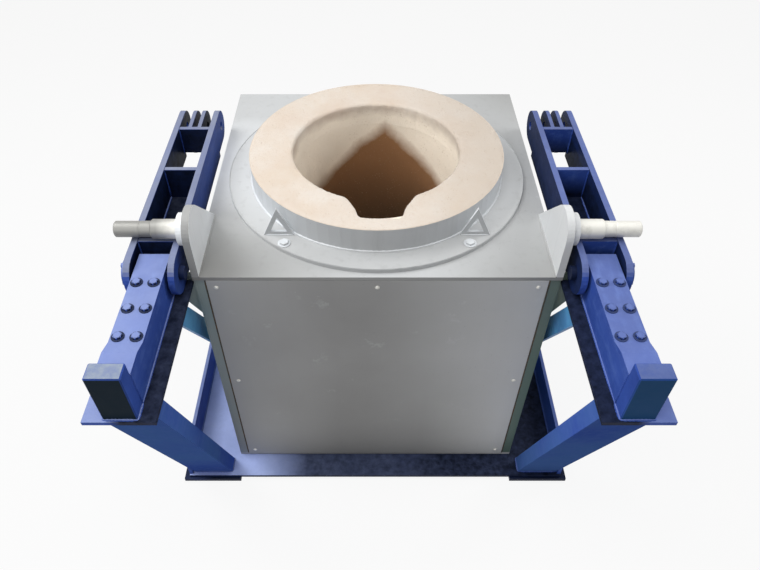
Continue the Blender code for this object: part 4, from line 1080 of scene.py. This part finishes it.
def build_gaskets():
    """The dark sealing strips between the front sheet's upright edges and the corner posts."""
    low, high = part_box("front_panel")
    post_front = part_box("shell_frame")[0].y
    for side, sign in SIDES.items():
        shape = bmesh.new()
        inner = sign * (high.x + 0.0006)
        outer = sign * (high.x + 0.0052)
        outline = ((inner, 0.0), (outer, 0.0), (outer, 0.0018), ((inner + outer) / 2, 0.0030),
                   (inner, 0.0018))
        rings = []
        for height in (low.z + TINY, high.z - TINY):
            rings.append([shape.verts.new((x, post_front - out, height)) for x, out in outline])
        swept_rings(shape, rings)
        piece(f"panel_gasket_{side}", shape, "furnace", "gasket")


def build_stand_welds():
    """Fillet welds on the stand: beams and blocks on the shelves, struts at both ends, rails."""
    for side, sign in SIDES.items():
        shape = bmesh.new()
        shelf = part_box(f"shelf_plate_{side}")[1].z
        low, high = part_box(f"stop_block_{side}")
        beam_low, beam_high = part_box(f"pivot_beam_{side}")
        for x in (beam_low.x, beam_high.x):
            weld_bead(shape, (x, beam_low.y, shelf), (x, beam_high.y, shelf), "beam")
            weld_bead(shape, (x, low.y, shelf), (x, high.y, shelf), "block")
            block_top = (x, high.y, BOX_TOP + STOP_RISE)
            weld_bead(shape, (x, high.y, low.z), block_top, "tie")
        for y in (low.y, high.y):
            weld_bead(shape, (low.x, y, shelf), (high.x, y, shelf), "block")
        for strut, depth in STRUT_DEPTHS.items():
            low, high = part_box(f"{strut}_strut_{side}")
            ends = (((low.y, low.y + depth), high.z, "block"),
                    ((high.y - depth, high.y), low.z, "foot"))
            for edges, z, kind in ends:
                for y in edges:
                    weld_bead(shape, (low.x, y, z), (high.x, y, z), kind)
            for x in (low.x, high.x):
                for (front, back), z, _ in ends:
                    weld_bead(shape, (x, front, z), (x, back, z), "beam")
        low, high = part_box(f"side_rail_{side}")
        x = low.x if sign > 0 else high.x
        weld_bead(shape, (x, low.y, low.z), (x, high.y, low.z), "rail")
        piece(f"stand_welds_{side}", shape, "stand", "blue")


def build_furnace_welds():
    """Fillet welds on the moving side: ears on the top plate, ties and clevises in the arms."""
    for side, sign in SIDES.items():
        low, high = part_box(f"ear_plate_{side}")
        inner = high.x if sign < 0 else low.x
        ears = bmesh.new()
        end = (inner, high.y - BEAD_INSET, low.z)
        weld_bead(ears, (inner, low.y, low.z), end, "foot")
        piece(f"ear_weld_{side}", ears, "furnace", "top")
        shape = bmesh.new()
        for tie in (f"arm_front_tie_{side}", f"arm_middle_tie_{side}", f"rear_clevis_{side}"):
            low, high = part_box(tie)
            for x in (low.x, high.x):
                for y in (low.y, low.y + TIE_THICK):
                    weld_bead(shape, (x, y, low.z + 0.006), (x, y, high.z - 0.003), "tie")
        low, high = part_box(f"arm_floor_plate_{side}")
        for x in (low.x, high.x):
            weld_bead(shape, (x, low.y, high.z), (x, high.y, high.z), "floor")
        piece(f"arm_welds_{side}", shape, "furnace", "blue")


def build_terminals():
    """Hexagon bolts down both edges of the terminal board."""
    low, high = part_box("terminal_board")
    shape = bmesh.new()
    for x in (low.x + BOARD_BOLT_INSET, high.x - BOARD_BOLT_INSET):
        for share in (0.04, 0.36, 0.64, 0.96):
            z = low.z + (high.z - low.z) * share
            hexagon_bolt(shape, (x, high.y, z), BOARD_BOLT, "Y")
    piece("board_bolts", shape, "furnace", "steel", smooth=False)


def build_camera():
    """The photograph's view: a camera that looks down at the furnace from the front."""
    view = bpy.data.cameras.new("photo_view")
    view.lens = CAMERA_LENS
    view.shift_x = CAMERA_SHIFT
    camera = scene_object("photo_view", view)
    camera.location = CAMERA_PLACE
    camera.rotation_euler = (math.pi / 2 - CAMERA_DOWN, 0, 0)
    bpy.context.scene.camera = camera


def build_lamps():
    """Square studio lamps that point at the middle of the furnace's top."""
    for name, place, size, power in LAMPS:
        lamp = bpy.data.lights.new(name, "AREA")
        lamp.size = size
        lamp.energy = power
        made = scene_object(name, lamp)
        made.location = place
        away = Vector((0.0, 0.0, BOX_TOP)) - Vector(place)
        made.rotation_euler = away.to_track_quat("-Z", "Y").to_euler()


def seen_directly(finish):
    """1 to the camera, in reflections and through glass, and 0 where the surface gives light."""
    rays = ("Is Camera Ray", "Is Glossy Ray", "Is Transmission Ray")
    return sum(finish.node("ShaderNodeLightPath", output=ray) for ray in rays).clamped()


def build_studio():
    """A pale floor that keeps the shadow, a white surround and soft lamps from above."""
    floor = Finish("pale_floor", roughness=0.9)
    floor.feed("Base Color", floor.mix(floor.noise(3.0), FLOOR_DARK, FLOOR_LIGHT))
    glow = floor.node("ShaderNodeEmission", None, {"Color": (*WHITE, 1.0), "Strength": 1.0})
    surface = Field(floor, floor.shader.outputs[0])
    white = seen_directly(floor) * FLOOR_WHITE_SHARE
    mixed = floor.node("ShaderNodeMixShader", None, {0: white, 1: surface, 2: glow})
    floor.tree.links.new(mixed.socket, floor.tree.nodes["Material Output"].inputs["Surface"])
    shape = bmesh.new()
    bmesh.ops.create_circle(shape, cap_ends=True, segments=64, radius=14.0)
    ground = mesh_object("studio_floor", shape, floor.material)
    ground.location.z = -0.001
    backdrop = Backdrop("studio_light")
    backdrop.feed("Strength", seen_directly(backdrop) * (1.0 - WORLD_LEVEL) + WORLD_LEVEL)
    bpy.context.scene.world = backdrop.material
    build_lamps()


build_camera()
dress_nodes()
build_refractory_ring()
build_lining()
build_collar_details()
build_bolts()
build_shafts()
build_pin_covers()
build_panels()
build_gaskets()
build_stand_welds()
build_furnace_welds()
build_terminals()
build_studio()
bpy.context.scene.view_settings.view_transform = "Standard"
